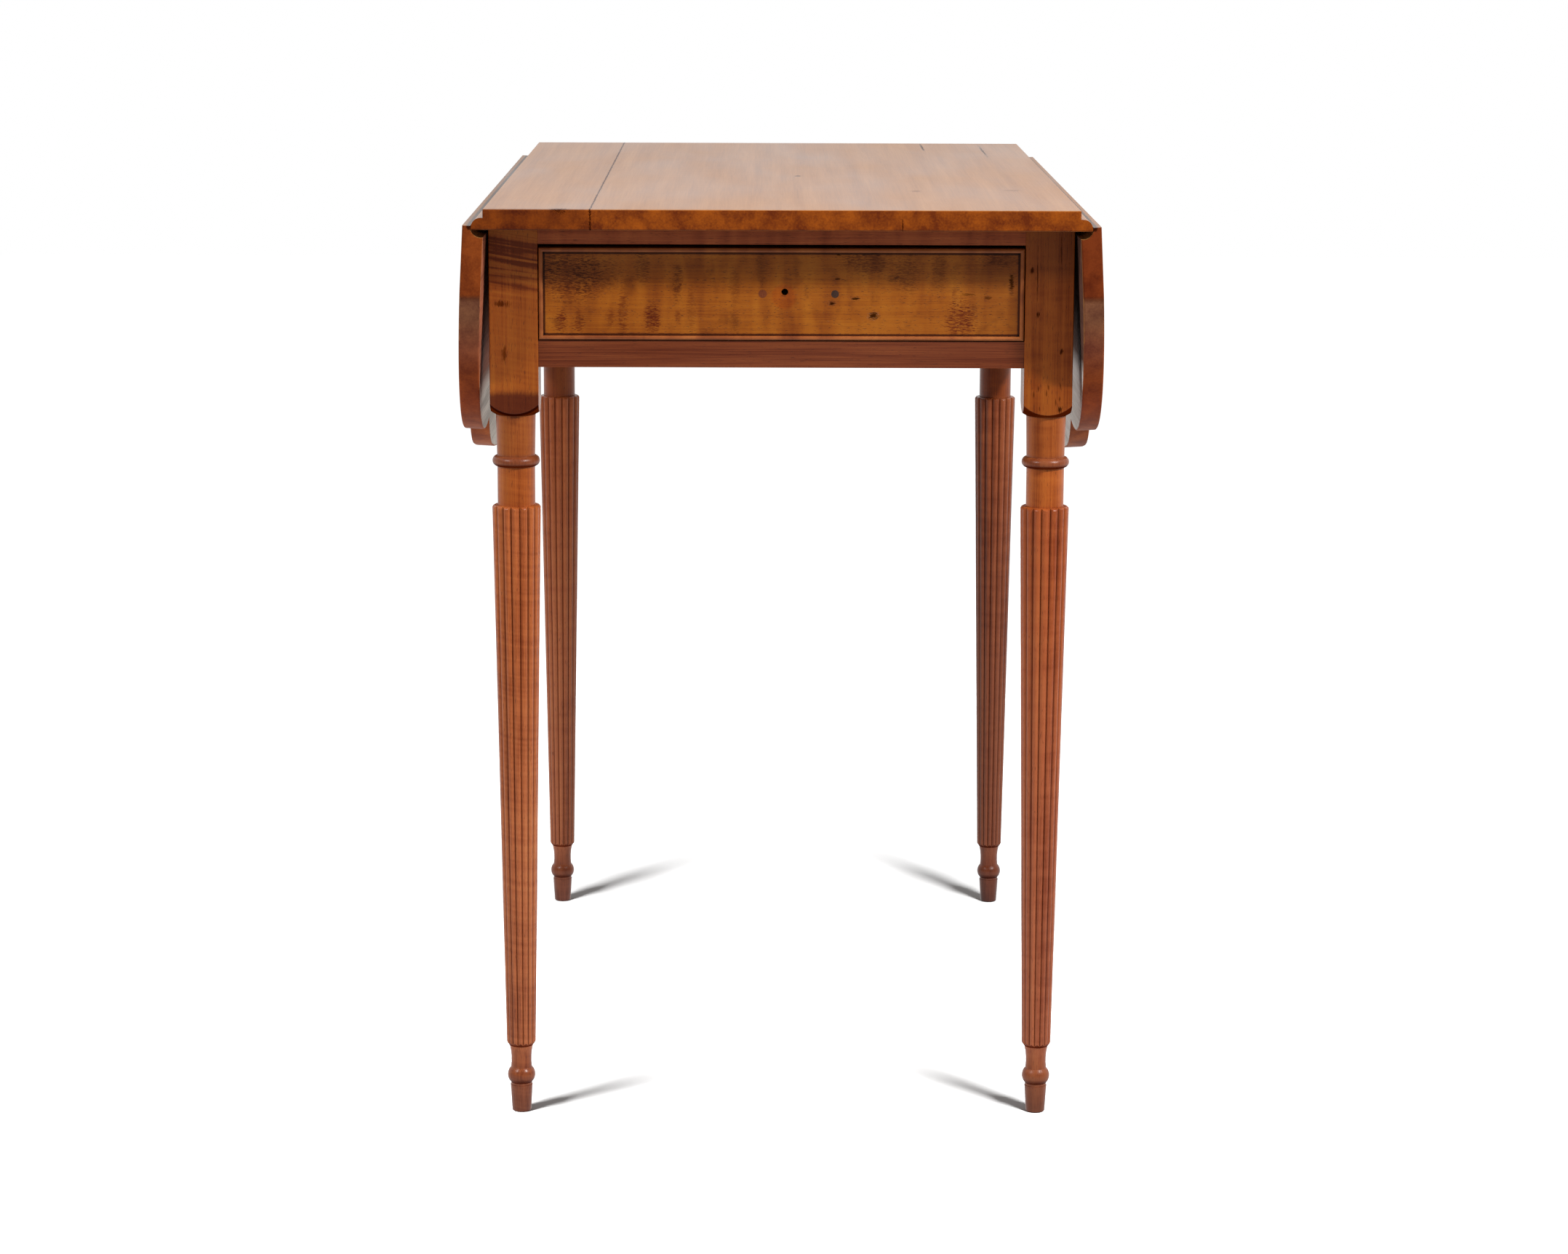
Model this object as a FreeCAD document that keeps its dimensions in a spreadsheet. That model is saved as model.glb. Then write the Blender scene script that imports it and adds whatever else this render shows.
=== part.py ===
import FreeCAD, Part
import Sketcher
import math
import os
import types

# A drop-leaf table with one drawer: lengths in millimetres, angles in degrees.
# The drawer faces -Y, the leaves hang at -X and +X, and the floor is at Z = 0.
values = {
    # top and its rule joints
    "table_height": 724,
    "top_length": 777,
    "top_thickness": 15.8,
    "fillet_spacing": 452,
    "narrow_board_width": 81,
    "joint_fillet": 6.6,
    "tongue_radius": 7.4,
    "pin_offset": 1.5,
    "rule_gap": 0.55,
    "edge_round": 1.4,
    "arris_round": 0.7,
    "notch_round": 2,
    # drop leaves
    "leaf_hang_angle": 87,
    "leaf_reach": 213.25,
    "leaf_end_straight": 51.25,
    "lobe_centre_reach": 23.25,
    "lobe_centre_inset": 146,
    "middle_radius": 798,
    "middle_half_span": 152,
    "shoulder_radius": 121,
    # rule-joint hinges
    "hinge_inset": 133.5,
    "hinge_width": 32,
    "plate_thickness": 1.6,
    "top_plate_reach": 28,
    "leaf_plate_reach": 42,
    "knuckle_radius": 2.9,
    "hinge_pin_radius": 1.2,
    "knuckle_gap": 0.3,
    "gain_clearance": 0.5,
    "running_clearance": 0.05,
    "hinge_screw_head_radius": 2.6,
    "hinge_screw_radius": 1.3,
    "hinge_screw_length": 9,
    "hinge_screw_edge": 7,
    # legs
    "side_overhang": 1.75,
    "end_overhang": 36.25,
    "block_size": 37.5,
    "block_length": 146.7,
    "block_shoulder_back": 14,
    "block_shoulder_rise": 27,
    "upper_neck_length": 32,
    "upper_neck_top_radius": 15.4,
    "upper_neck_radius": 14.8,
    "ring_height": 8.5,
    "ring_radius": 18.45,
    "lower_neck_length": 30.5,
    "lower_neck_radius": 14.65,
    "reed_top_radius": 18.9,
    "reed_bottom_radius": 11.45,
    "reed_tip_round": 2.4,
    "reed_end_back": 9,
    "reed_end_rise": 8.5,
    "core_radius": 8.5,
    "ankle_length": 18.2,
    "ankle_radius": 8.1,
    "ankle_sweep": 50,
    "ankle_waist_rise": 6.5,
    "bulb_height": 12.5,
    "bulb_radius": 11,
    "quirk_height": 1.8,
    "quirk_radius": 8.4,
    "foot_height": 22,
    "foot_top_radius": 8.85,
    "foot_tip_radius": 6.2,
    "foot_round": 1.4,
    # rails
    "apron_height": 108.2,
    "rail_setback": 1,
    "side_rail_thickness": 18,
    "back_rail_thickness": 20,
    "tenon_thickness": 8,
    "tenon_shoulder": 4,
    "tenon_edge": 15,
    "side_tenon_length": 22,
    "end_tenon_length": 18,
    "drawer_rail_depth": 40,
    "upper_rail_height": 13.7,
    "lower_rail_height": 20.5,
    "tail_length": 16,
    "tail_neck": 14,
    "tail_end": 20,
    "tail_inset": 8,
    "runner_width": 22,
    "runner_height": 18,
    "kicker_height": 17,
    "stop_width": 40,
    "stop_depth": 18,
    "stop_height": 4.5,
    "stop_spacing": 240,
    "block_strip": 18,
    "glue_block_length": 50,
    "glue_block_spacing": 170,
    # fly rails and swinging brackets
    "fly_thickness": 15,
    "fly_height": 84,
    "fly_top_gap": 0.6,
    "fly_pivot_along": 70,
    "bracket_length": 165,
    "bracket_tip_height": 20,
    "bracket_root_length": 34,
    "bracket_end_gap": 1.5,
    "bracket_end_slant": 12,
    "fly_knuckle_clearance": 0.5,
    "fly_pin_radius": 2.4,
    "fly_screw_head_radius": 4,
    "fly_screw_radius": 2.2,
    "fly_screw_length": 27,
    "fly_screw_inset": 45,
    # drawer
    "drawer_back_gap": 107.5,
    "drawer_side_clearance": 0.75,
    "drawer_run_clearance": 0.3,
    "drawer_front_lift": 0.8,
    "drawer_front_height": 70.5,
    "drawer_front_thickness": 20,
    "drawer_side_thickness": 10,
    "drawer_side_height": 68,
    "drawer_back_thickness": 8,
    "drawer_back_drop": 5,
    "drawer_bottom_thickness": 7,
    "drawer_bottom_lift": 5.5,
    "groove_depth": 5,
    "drawer_lap": 7,
    "dovetail_flare": 1.6,
    "bead_width": 3.2,
    "bead_depth": 7,
    "bead_proud": 1.9,
    "bead_nose": 1.3,
    "pull_hole_radius": 2.6,
    "pull_offset": 2.5,
    "pull_drop": 33.5,
    "plug_drop": 35,
    "plug_left_radius": 3.2,
    "plug_left_offset": -14.5,
    "plug_right_radius": 3,
    "plug_right_offset": 41,
    "plug_depth": 12,
    "nail_radius": 1,
    "nail_length": 22,
    "nail_spacing": 120,
    # screws that hold the top
    "top_screw_head_radius": 4,
    "top_screw_radius": 2.2,
    "top_screw_bite": 9,
    "top_screw_spacing": 220,
    # every cut runs past its piece by this much
    "overrun": 1.5,
}

# Shares and counts that set no length by themselves.
reed_count = 16
reed_bulge_share = 1.15
fly_finger_count = 5
dovetail_low_shares = (0.26, 0.50, 0.74)
dovetail_width_share = 0.15

doc = FreeCAD.newDocument("PembrokeTable")
sheet = doc.addObject("Spreadsheet::Sheet", "Sizes")


class Size:
    # A size that carries its value and the formula that the document keeps for it.
    def __init__(self, value, formula):
        self.value = value
        self.formula = formula

    def __add__(self, other):
        other = as_size(other)
        return Size(self.value + other.value, f"({self.formula} + {other.formula})")

    def __radd__(self, other):
        return as_size(other) + self

    def __sub__(self, other):
        other = as_size(other)
        return Size(self.value - other.value, f"({self.formula} - {other.formula})")

    def __rsub__(self, other):
        return as_size(other) - self

    def __neg__(self):
        return 0 - self

    def __mul__(self, other):
        other = as_size(other)
        return Size(self.value * other.value, f"({self.formula} * {other.formula})")

    def __rmul__(self, other):
        return as_size(other) * self

    def __truediv__(self, other):
        other = as_size(other)
        return Size(self.value / other.value, f"({self.formula} / {other.formula})")


def as_size(amount):
    return amount if isinstance(amount, Size) else Size(amount, repr(amount))


def root(amount):
    return Size(math.sqrt(amount.value), f"sqrt({amount.formula})")


size = types.SimpleNamespace()
for row, (alias, value) in enumerate(values.items(), start=1):
    sheet.set(f"A{row}", alias)
    sheet.set(f"B{row}", str(value))
    sheet.setAlias(f"B{row}", alias)
    setattr(size, alias, Size(value, f"Sizes.{alias}"))
doc.recompute()

pieces = []
along_axis = {
    "x": FreeCAD.Rotation(FreeCAD.Vector(0, 1, 0), 90),
    "y": FreeCAD.Rotation(FreeCAD.Vector(1, 0, 0), -90),
    "z": FreeCAD.Rotation(),
    "-x": FreeCAD.Rotation(FreeCAD.Vector(0, 1, 0), -90),
    "-z": FreeCAD.Rotation(FreeCAD.Vector(1, 0, 0), 180),
}


def bind(item, prop, amount):
    item.setExpression(prop, as_size(amount).formula)


def put(item, place, turn="z"):
    item.Placement = FreeCAD.Placement(FreeCAD.Vector(), along_axis[turn])
    for axis, amount in zip("xyz", place):
        bind(item, f"Placement.Base.{axis}", amount)


def keep(item):
    pieces.append(item)
    return item


def board(name, across, along, up):
    box = doc.addObject("Part::Box", name)
    spans = (("Length", across), ("Width", along), ("Height", up))
    for prop, (low, high) in spans:
        bind(box, prop, high - low)
    put(box, (across[0], along[0], up[0]))
    return box


def rod(name, radius, start, length, turn="z"):
    cylinder = doc.addObject("Part::Cylinder", name)
    bind(cylinder, "Radius", radius)
    bind(cylinder, "Height", length)
    put(cylinder, start, turn)
    return cylinder


def fuse(name, items):
    joined = doc.addObject("Part::MultiFuse", name)
    joined.Shapes = items
    joined.Refine = True
    return joined


def group(name, items):
    together = doc.addObject("Part::Compound", name)
    together.Links = items
    return together


def cut(name, base, tools):
    result = doc.addObject("Part::Cut", name)
    result.Base = base
    result.Tool = tools[0] if len(tools) == 1 else fuse(f"{name}_cuts", tools)
    return result


def mirror(name, source, axis="x"):
    image = doc.addObject("Part::Mirroring", name)
    image.Source = source
    image.Normal = FreeCAD.Vector(axis == "x", axis == "y", 0)
    return image


def sketch_on(body, name, plane, rise=0):
    sketch = body.newObject("Sketcher::SketchObject", name)
    support = [part for part in body.Origin.OriginFeatures if part.Role == plane]
    sketch.AttachmentSupport = [(support[0], "")]
    sketch.MapMode = "FlatFace"
    bind(sketch, "AttachmentOffset.Base.z", rise)
    return sketch


def trace(sketch, steps):
    # A closed outline. A step (x, y) is a straight side that ends there. A step
    # (x, y, centre, turn, held) is an arc, anticlockwise where turn is 1, and held
    # names the coordinates of its end that are fixed.
    first = len(sketch.Geometry)
    points = [FreeCAD.Vector(as_size(step[0]).value, as_size(step[1]).value, 0) for step in steps]
    ends = []
    for number, step in enumerate(steps):
        start, end = points[number - 1], points[number]
        ends.append((1, 2))
        if len(step) == 2:
            sketch.addGeometry(Part.LineSegment(start, end))
            continue
        centre = FreeCAD.Vector(as_size(step[2][0]).value, as_size(step[2][1]).value, 0)
        circle = Part.Circle(centre, FreeCAD.Vector(0, 0, 1), (start - centre).Length)
        angles = [math.atan2(point.y - centre.y, point.x - centre.x) for point in (start, end)]
        if step[3] < 0:
            angles.reverse()
            ends[-1] = (2, 1)
        if angles[1] < angles[0]:
            angles[1] += math.tau
        sketch.addGeometry(Part.ArcOfCircle(circle, *angles))
    links = []
    fixed = []
    for number, step in enumerate(steps):
        before = (number - 1) % len(steps)
        links.append(
            Sketcher.Constraint(
                "Coincident", first + before, ends[before][1], first + number, ends[number][0]
            )
        )
        held = "xy" if len(step) == 2 else step[4]
        fixed += [(axis, number, ends[number][1], step["xy".index(axis)]) for axis in held]
        if len(step) > 2:
            fixed += [(axis, number, 3, amount) for axis, amount in zip("xy", step[2])]
    sketch.addConstraint(links)
    rules = [
        Sketcher.Constraint(f"Distance{axis.upper()}", -1, 1, first + number, point, as_size(amount).value)
        for axis, number, point, amount in fixed
    ]
    for index, (_, _, _, amount) in zip(sketch.addConstraint(rules), fixed):
        bind(sketch, f"Constraints[{index}]", amount)


def pad(body, name, sketch, length):
    feature = body.newObject("PartDesign::Pad", name)
    feature.Profile = sketch
    bind(feature, "Length", length)
    return feature


def turned(body, name, sketch, kind="PartDesign::Revolution"):
    feature = body.newObject(kind, name)
    feature.Profile = sketch
    feature.ReferenceAxis = (sketch, ["V_Axis"])
    feature.Angle = 360
    return feature


def soften(body, name, radius, chosen):
    # Rounds the edges whose boxes are chosen.
    doc.recompute()
    base = body.Tip
    numbered = enumerate(base.Shape.Edges, start=1)
    edges = [f"Edge{number}" for number, edge in numbered if chosen(edge.BoundBox)]
    feature = body.newObject("PartDesign::Fillet", name)
    feature.Base = (base, edges)
    bind(feature, "Radius", radius)


def level_with(low, high, amount):
    # True where an edge's box is flat and lies at the amount.
    return abs(low - amount.value) < near and abs(high - amount.value) < near


def solid(name, plane, rise, steps, length):
    body = doc.addObject("PartDesign::Body", name)
    sketch = sketch_on(body, f"{name}_outline", plane, rise)
    trace(sketch, steps)
    pad(body, f"{name}_pad", sketch, length)
    return body


def screw(name, head_radius, radius, length, place, turn):
    # A countersunk screw: its head's face is at the place, and it points along the turn.
    body = doc.addObject("PartDesign::Body", name)
    sketch = sketch_on(body, f"{name}_profile", "XZ_Plane")
    head = head_radius - radius
    steps = [(0, 0), (head_radius, 0), (radius, head), (radius, length - radius), (0, length)]
    trace(sketch, steps)
    turned(body, f"{name}_turning", sketch)
    put(body, place, turn)
    return body


# Two places nearer than this are the same place.
near = size.overrun.value / 100

# Places that several pieces share.
half_length = size.top_length / 2
half_fillet = size.fillet_spacing / 2
under_top = size.table_height - size.top_thickness
pin_rise = size.top_thickness - size.joint_fillet - size.tongue_radius
pin_height = under_top + pin_rise
pin_x = half_fillet + size.pin_offset
half_block = size.block_size / 2
leg_x = half_fillet - size.side_overhang - half_block
leg_y = half_length - size.end_overhang - half_block
block_inner_x = leg_x - half_block
block_inner_y = leg_y - half_block
apron_bottom = under_top - size.apron_height
face_y = leg_y + half_block - size.rail_setback
rail_inner_y = face_y - size.back_rail_thickness
side_outer_x = block_inner_x + size.side_rail_thickness
drawer_floor = apron_bottom + size.lower_rail_height
drawer_ceiling = under_top - size.upper_rail_height
drawer_rail_inner_y = face_y - size.drawer_rail_depth
cut_end = size.overrun

# Screws that hold the top: two through the upper drawer rail, two through each kicker.
kicker_x = block_inner_x - size.runner_width / 2
kicker_bottom = under_top - size.kicker_height
rail_screw_y = face_y - size.drawer_rail_depth / 2
top_screw_places = [
    (-size.top_screw_spacing / 2, -rail_screw_y, drawer_ceiling, size.upper_rail_height),
    (size.top_screw_spacing / 2, -rail_screw_y, drawer_ceiling, size.upper_rail_height),
]
for side in (-1, 1):
    for end in (-1, 1):
        along = end * size.top_screw_spacing / 2
        top_screw_places.append((side * kicker_x, along, kicker_bottom, size.kicker_height))
top_screws = []
for number, (x, y, z, thickness) in enumerate(top_screw_places, start=1):
    length = thickness + size.top_screw_bite
    radii = (size.top_screw_head_radius, size.top_screw_radius)
    top_screws.append(screw(f"top_screw_{number}", *radii, length, (x, y, z), "z"))
keep(group("top_screws", top_screws))

# Rule-joint hinges of the right leaf, in the frame of their pin: x away from the table.
hinge_y = half_length - size.hinge_inset
hinge_places = (-hinge_y, hinge_y)
half_hinge = size.hinge_width / 2
finger = size.hinge_width / 3
plate_low = -pin_rise
plate_high = plate_low + size.plate_thickness
swing_room = size.knuckle_radius + size.knuckle_gap


def hinge_plate(name, reach, middle, y):
    # One plate with its knuckles: the middle one of three, or the outer two.
    toward = 1 if middle else -1
    span = (0, reach) if middle else (-reach, 0)
    flat = board(f"{name}_flat", span, (y - half_hinge, y + half_hinge), (plate_low, plate_high))
    barrel = rod(f"{name}_barrel", size.knuckle_radius, (0, y - half_hinge, 0), size.hinge_width, "y")
    bore_radius = size.hinge_pin_radius + (size.running_clearance if middle else 0)
    bore_start = (0, y - half_hinge - cut_end, 0)
    tools = [rod(f"{name}_bore", bore_radius, bore_start, size.hinge_width + cut_end * 2, "y")]
    if middle:
        room = finger + size.knuckle_gap
        tools.append(rod(f"{name}_room_1", swing_room, bore_start, room + cut_end, "y"))
        tools.append(rod(f"{name}_room_2", swing_room, (0, y + half_hinge - room, 0), room + cut_end, "y"))
    else:
        tools.append(rod(f"{name}_room", swing_room, (0, y - finger / 2, 0), finger, "y"))
    screws = []
    for number, share in enumerate((-1, 1), start=1):
        x = toward * (reach - size.hinge_screw_edge)
        place = (x, y + share * (half_hinge - size.hinge_screw_edge), plate_low)
        screws.append(
            screw(
                f"{name}_screw_{number}",
                size.hinge_screw_head_radius,
                size.hinge_screw_radius,
                size.hinge_screw_length,
                place,
                "z",
            )
        )
    return cut(name, fuse(f"{name}_blank", [flat, barrel]), tools + screws), screws


top_plates = []
top_plate_screws = []
leaf_plates = []
leaf_plate_screws = []
hinge_pins = []
hinge_gains = []
leaf_gains = []
for number, y in enumerate(hinge_places, start=1):
    plate, screws = hinge_plate(f"top_plate_{number}", size.top_plate_reach, False, y)
    top_plates.append(plate)
    top_plate_screws += screws
    plate, screws = hinge_plate(f"leaf_plate_{number}", size.leaf_plate_reach, True, y)
    leaf_plates.append(plate)
    leaf_plate_screws += screws
    hinge_pins.append(
        rod(f"hinge_pin_{number}", size.hinge_pin_radius, (0, y - half_hinge, 0), size.hinge_width, "y")
    )
    # Gains in the top: the plate's own seat, a trough for the knuckles and room for the leaf's plate.
    wide = (y - half_hinge - size.gain_clearance, y + half_hinge + size.gain_clearance)
    seat_along = (y - half_hinge, y + half_hinge)
    below = plate_low - cut_end
    hinge_gains += [
        board(f"gain_seat_{number}", (-size.top_plate_reach, 0), seat_along, (below, plate_high)),
        rod(
            f"gain_trough_{number}",
            size.knuckle_radius + size.gain_clearance,
            (0, wide[0], 0),
            size.hinge_width + size.gain_clearance * 2,
            "y",
        ),
        board(
            f"gain_room_{number}",
            (0, size.tongue_radius + cut_end),
            wide,
            (below, plate_high + size.gain_clearance),
        ),
    ]
    seat_across = (size.tongue_radius, size.leaf_plate_reach)
    leaf_gains.append(board(f"leaf_gain_{number}", seat_across, seat_along, (below, plate_high)))

pin_place = (pin_x, 0, pin_height)
right_top_plates = group("hinge_top_plates_right", top_plates)
right_top_screws = group("hinge_top_screws_right", top_plate_screws)
right_pins = group("hinge_pins_right", hinge_pins)
right_gains = fuse("hinge_gains_right", hinge_gains)
for item in (right_top_plates, right_top_screws, right_pins, right_gains):
    put(item, pin_place)
left_gains = mirror("hinge_gains_left", right_gains)
keep(right_top_plates)
keep(right_top_screws)
keep(right_pins)
left_top_screws = keep(mirror("hinge_top_screws_left", right_top_screws))
keep(mirror("hinge_top_plates_left", right_top_plates))
keep(mirror("hinge_pins_left", right_pins))

# The top: two boards glued edge to edge, each with a quarter-round tongue under a fillet.
glue_line = size.narrow_board_width - half_fillet
tongue_x = pin_x + size.tongue_radius
fillet_foot = size.table_height - size.joint_fillet


def top_profile(side):
    # The outline turns anticlockwise for the right-hand board and is mirrored for the left-hand one.
    return [
        (glue_line, under_top),
        (side * tongue_x, under_top),
        (side * tongue_x, pin_height),
        (side * pin_x, fillet_foot, (side * pin_x, pin_height), side, "x"),
        (side * half_fillet, fillet_foot),
        (side * half_fillet, size.table_height),
        (glue_line, size.table_height),
    ]


wide_blank = solid("top_wide_blank", "XZ_Plane", -half_length, top_profile(1), size.top_length)
narrow_blank = solid("top_narrow_blank", "XZ_Plane", -half_length, top_profile(-1), size.top_length)


def top_end_edge(box):
    # The upper and lower edges of a board's two ends.
    at_end = any(level_with(box.YMin, box.YMax, y) for y in (half_length, -half_length))
    return at_end and any(level_with(box.ZMin, box.ZMax, z) for z in (size.table_height, under_top))


def top_long_edge(box):
    # The upper edge of a board above its fillet.
    at_top = level_with(box.ZMin, box.ZMax, size.table_height)
    return at_top and any(level_with(box.XMin, box.XMax, x) for x in (half_fillet, -half_fillet))


for blank in (wide_blank, narrow_blank):
    soften(blank, f"{blank.Name}_ends", size.edge_round, top_end_edge)
    soften(blank, f"{blank.Name}_arris", size.arris_round, top_long_edge)
right_top_cuts = [right_gains, right_top_screws]
left_top_cuts = [left_gains, left_top_screws]
left_kicker_screws = [top_screws[2], top_screws[3]]
other_top_screws = [top_screws[0], top_screws[1], top_screws[4], top_screws[5]]
keep(cut("top_wide_board", wide_blank, right_top_cuts + other_top_screws))
keep(cut("top_narrow_board", narrow_blank, left_top_cuts + left_kicker_screws))

# The right leaf, drawn raised, in the frame of its pin: x away from the table, y along it.
tangent_x = size.leaf_reach - size.middle_radius + root(
    size.middle_radius * size.middle_radius - size.middle_half_span * size.middle_half_span
)
middle_centre_x = size.leaf_reach - size.middle_radius
inward = size.shoulder_radius / size.middle_radius
shoulder_x = tangent_x + (middle_centre_x - tangent_x) * inward
shoulder_y = size.middle_half_span - size.middle_half_span * inward
lobe_y = half_length - size.lobe_centre_inset


def notch_place():
    # Where the lobe's circle and the shoulder's circle cross, on the outer side.
    lobe = (size.lobe_centre_reach.value, lobe_y.value)
    lobe_radius = math.hypot(size.leaf_end_straight.value - lobe[0], half_length.value - lobe[1])
    other = (shoulder_x.value, shoulder_y.value)
    apart = math.dist(lobe, other)
    towards = ((other[0] - lobe[0]) / apart, (other[1] - lobe[1]) / apart)
    run = (apart**2 + lobe_radius**2 - size.shoulder_radius.value**2) / (2 * apart)
    rise = math.sqrt(lobe_radius**2 - run**2)
    return lobe[0] + towards[0] * run - towards[1] * rise, lobe[1] + towards[1] * run + towards[0] * rise


notch_x, notch_y = notch_place()
lobe_front = (size.lobe_centre_reach, -lobe_y)
lobe_rear = (size.lobe_centre_reach, lobe_y)
joint_edge = size.rule_gap - size.pin_offset
leaf_steps = [
    (joint_edge, -half_length),
    (size.leaf_end_straight, -half_length),
    (notch_x, -notch_y, lobe_front, 1, ""),
    (tangent_x, -size.middle_half_span, (shoulder_x, -shoulder_y), 1, "xy"),
    (tangent_x, size.middle_half_span, (middle_centre_x, 0), 1, "y"),
    (notch_x, notch_y, (shoulder_x, shoulder_y), 1, ""),
    (size.leaf_end_straight, half_length, lobe_rear, 1, "xy"),
    (joint_edge, half_length),
]
leaf_blank = solid("leaf_blank", "XY_Plane", -pin_rise, leaf_steps, size.top_thickness)
leaf_faces = (-pin_rise, size.top_thickness - pin_rise)


def leaf_edge(box):
    # Both edges of the leaf's outline, but not those at the joint.
    level = any(level_with(box.ZMin, box.ZMax, face) for face in leaf_faces)
    return level and not level_with(box.XMin, box.XMax, joint_edge)


def notch_edge(box):
    # The upright edges in the two notches beside the leaf's lobes.
    at_notch = level_with(box.XMin, box.XMax, as_size(notch_x))
    return at_notch and level_with(abs(box.YMin), abs(box.YMax), as_size(notch_y))


soften(leaf_blank, "leaf_notches", size.notch_round, notch_edge)
soften(leaf_blank, "leaf_rim", size.edge_round, leaf_edge)
cove = rod(
    "leaf_cove",
    size.tongue_radius + size.rule_gap,
    (0, -half_length - cut_end, 0),
    size.top_length + cut_end * 2,
    "y",
)
leaf_right = cut("leaf_right", leaf_blank, [cove] + leaf_gains + leaf_plate_screws)
leaf_set = {
    "leaf": leaf_right,
    "hinge_leaf_plates": group("hinge_leaf_plates_right", leaf_plates),
    "hinge_leaf_screws": group("hinge_leaf_screws_right", leaf_plate_screws),
}
for name, item in leaf_set.items():
    item.Placement = FreeCAD.Placement(FreeCAD.Vector(), FreeCAD.Rotation(FreeCAD.Vector(0, 1, 0), 1))
    for axis, amount in zip("xyz", pin_place):
        bind(item, f"Placement.Base.{axis}", amount)
    bind(item, "Placement.Rotation.Angle", size.leaf_hang_angle)
    keep(item)
    keep(mirror(f"{name}_left", item))

# Rails. The side and end tenons pass each other inside the leg.
tenon_z = (apron_bottom + size.tenon_edge, under_top - size.tenon_edge)
side_tenon_inner_x = block_inner_x + size.tenon_shoulder
side_tenon_x = (side_tenon_inner_x, side_tenon_inner_x + size.tenon_thickness)
side_tenon_y = block_inner_y + size.side_tenon_length
side_rail_right = keep(
    fuse(
        "side_rail_right",
        [
            board(
                "side_rail_board",
                (block_inner_x, side_outer_x),
                (-block_inner_y, block_inner_y),
                (apron_bottom, under_top),
            ),
            board("side_rail_tenons", side_tenon_x, (-side_tenon_y, side_tenon_y), tenon_z),
        ],
    )
)
side_rail_left = keep(mirror("side_rail_left", side_rail_right))

end_tenon_x = block_inner_x + size.end_tenon_length
end_tenon_y = (face_y - size.tenon_shoulder - size.tenon_thickness, face_y - size.tenon_shoulder)
back_rail = keep(
    fuse(
        "back_rail",
        [
            board(
                "back_rail_board",
                (-block_inner_x, block_inner_x),
                (rail_inner_y, face_y),
                (apron_bottom, under_top),
            ),
            board("back_rail_tenons", (-end_tenon_x, end_tenon_x), end_tenon_y, tenon_z),
        ],
    )
)
lower_tenon_z = (apron_bottom + size.tenon_shoulder, drawer_floor - size.tenon_shoulder)
lower_rail = keep(
    fuse(
        "drawer_rail_bottom",
        [
            board(
                "lower_rail_board",
                (-block_inner_x, block_inner_x),
                (-face_y, -drawer_rail_inner_y),
                (apron_bottom, drawer_floor),
            ),
            board(
                "lower_rail_tenons",
                (-end_tenon_x, end_tenon_x),
                (-end_tenon_y[1], -end_tenon_y[0]),
                lower_tenon_z,
            ),
        ],
    )
)

# The upper drawer rail has a dovetail at each end, let into the top of the leg.
tail_middle_y = -face_y + size.tail_inset + size.tail_end / 2
tail_tip_x = block_inner_x + size.tail_length
upper_steps = [(-block_inner_x, -face_y), (block_inner_x, -face_y)]
upper_steps += [
    (block_inner_x, tail_middle_y - size.tail_neck / 2),
    (tail_tip_x, tail_middle_y - size.tail_end / 2),
    (tail_tip_x, tail_middle_y + size.tail_end / 2),
    (block_inner_x, tail_middle_y + size.tail_neck / 2),
    (block_inner_x, -drawer_rail_inner_y),
    (-block_inner_x, -drawer_rail_inner_y),
    (-block_inner_x, tail_middle_y + size.tail_neck / 2),
    (-tail_tip_x, tail_middle_y + size.tail_end / 2),
    (-tail_tip_x, tail_middle_y - size.tail_end / 2),
    (-block_inner_x, tail_middle_y - size.tail_neck / 2),
]
upper_blank = solid("upper_rail_blank", "XY_Plane", drawer_ceiling, upper_steps, size.upper_rail_height)
upper_rail = keep(cut("drawer_rail_top", upper_blank, top_screws[:2]))

# Runners carry the drawer, kickers keep it from tipping, and stops set how far it goes in.
for side, label, screws in ((-1, "left", top_screws[2:4]), (1, "right", top_screws[4:])):
    strip_edges = (side * (block_inner_x - size.runner_width), side * block_inner_x)
    strip_x = sorted(strip_edges, key=lambda edge: edge.value)
    strip_y = (-drawer_rail_inner_y, rail_inner_y)
    runner_z = (drawer_floor - size.runner_height, drawer_floor)
    keep(board(f"drawer_runner_{label}", strip_x, strip_y, runner_z))
    kicker_blank = board(f"kicker_{label}_blank", strip_x, strip_y, (kicker_bottom, under_top))
    keep(cut(f"drawer_kicker_{label}", kicker_blank, screws))
    stop_x = side * size.stop_spacing / 2
    stop_y = -face_y + size.drawer_front_thickness
    keep(
        board(
            f"drawer_stop_{label}",
            (stop_x - size.stop_width / 2, stop_x + size.stop_width / 2),
            (stop_y, stop_y + size.stop_depth),
            (drawer_floor, drawer_floor + size.stop_height),
        )
    )
glue_blocks = [
    board(
        f"glue_block_{number}",
        (x - size.glue_block_length / 2, x + size.glue_block_length / 2),
        (rail_inner_y - size.block_strip, rail_inner_y),
        (under_top - size.block_strip, under_top),
    )
    for number, x in enumerate((-size.glue_block_spacing / 2, size.glue_block_spacing / 2), start=1)
]
keep(group("glue_blocks", glue_blocks))

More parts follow.
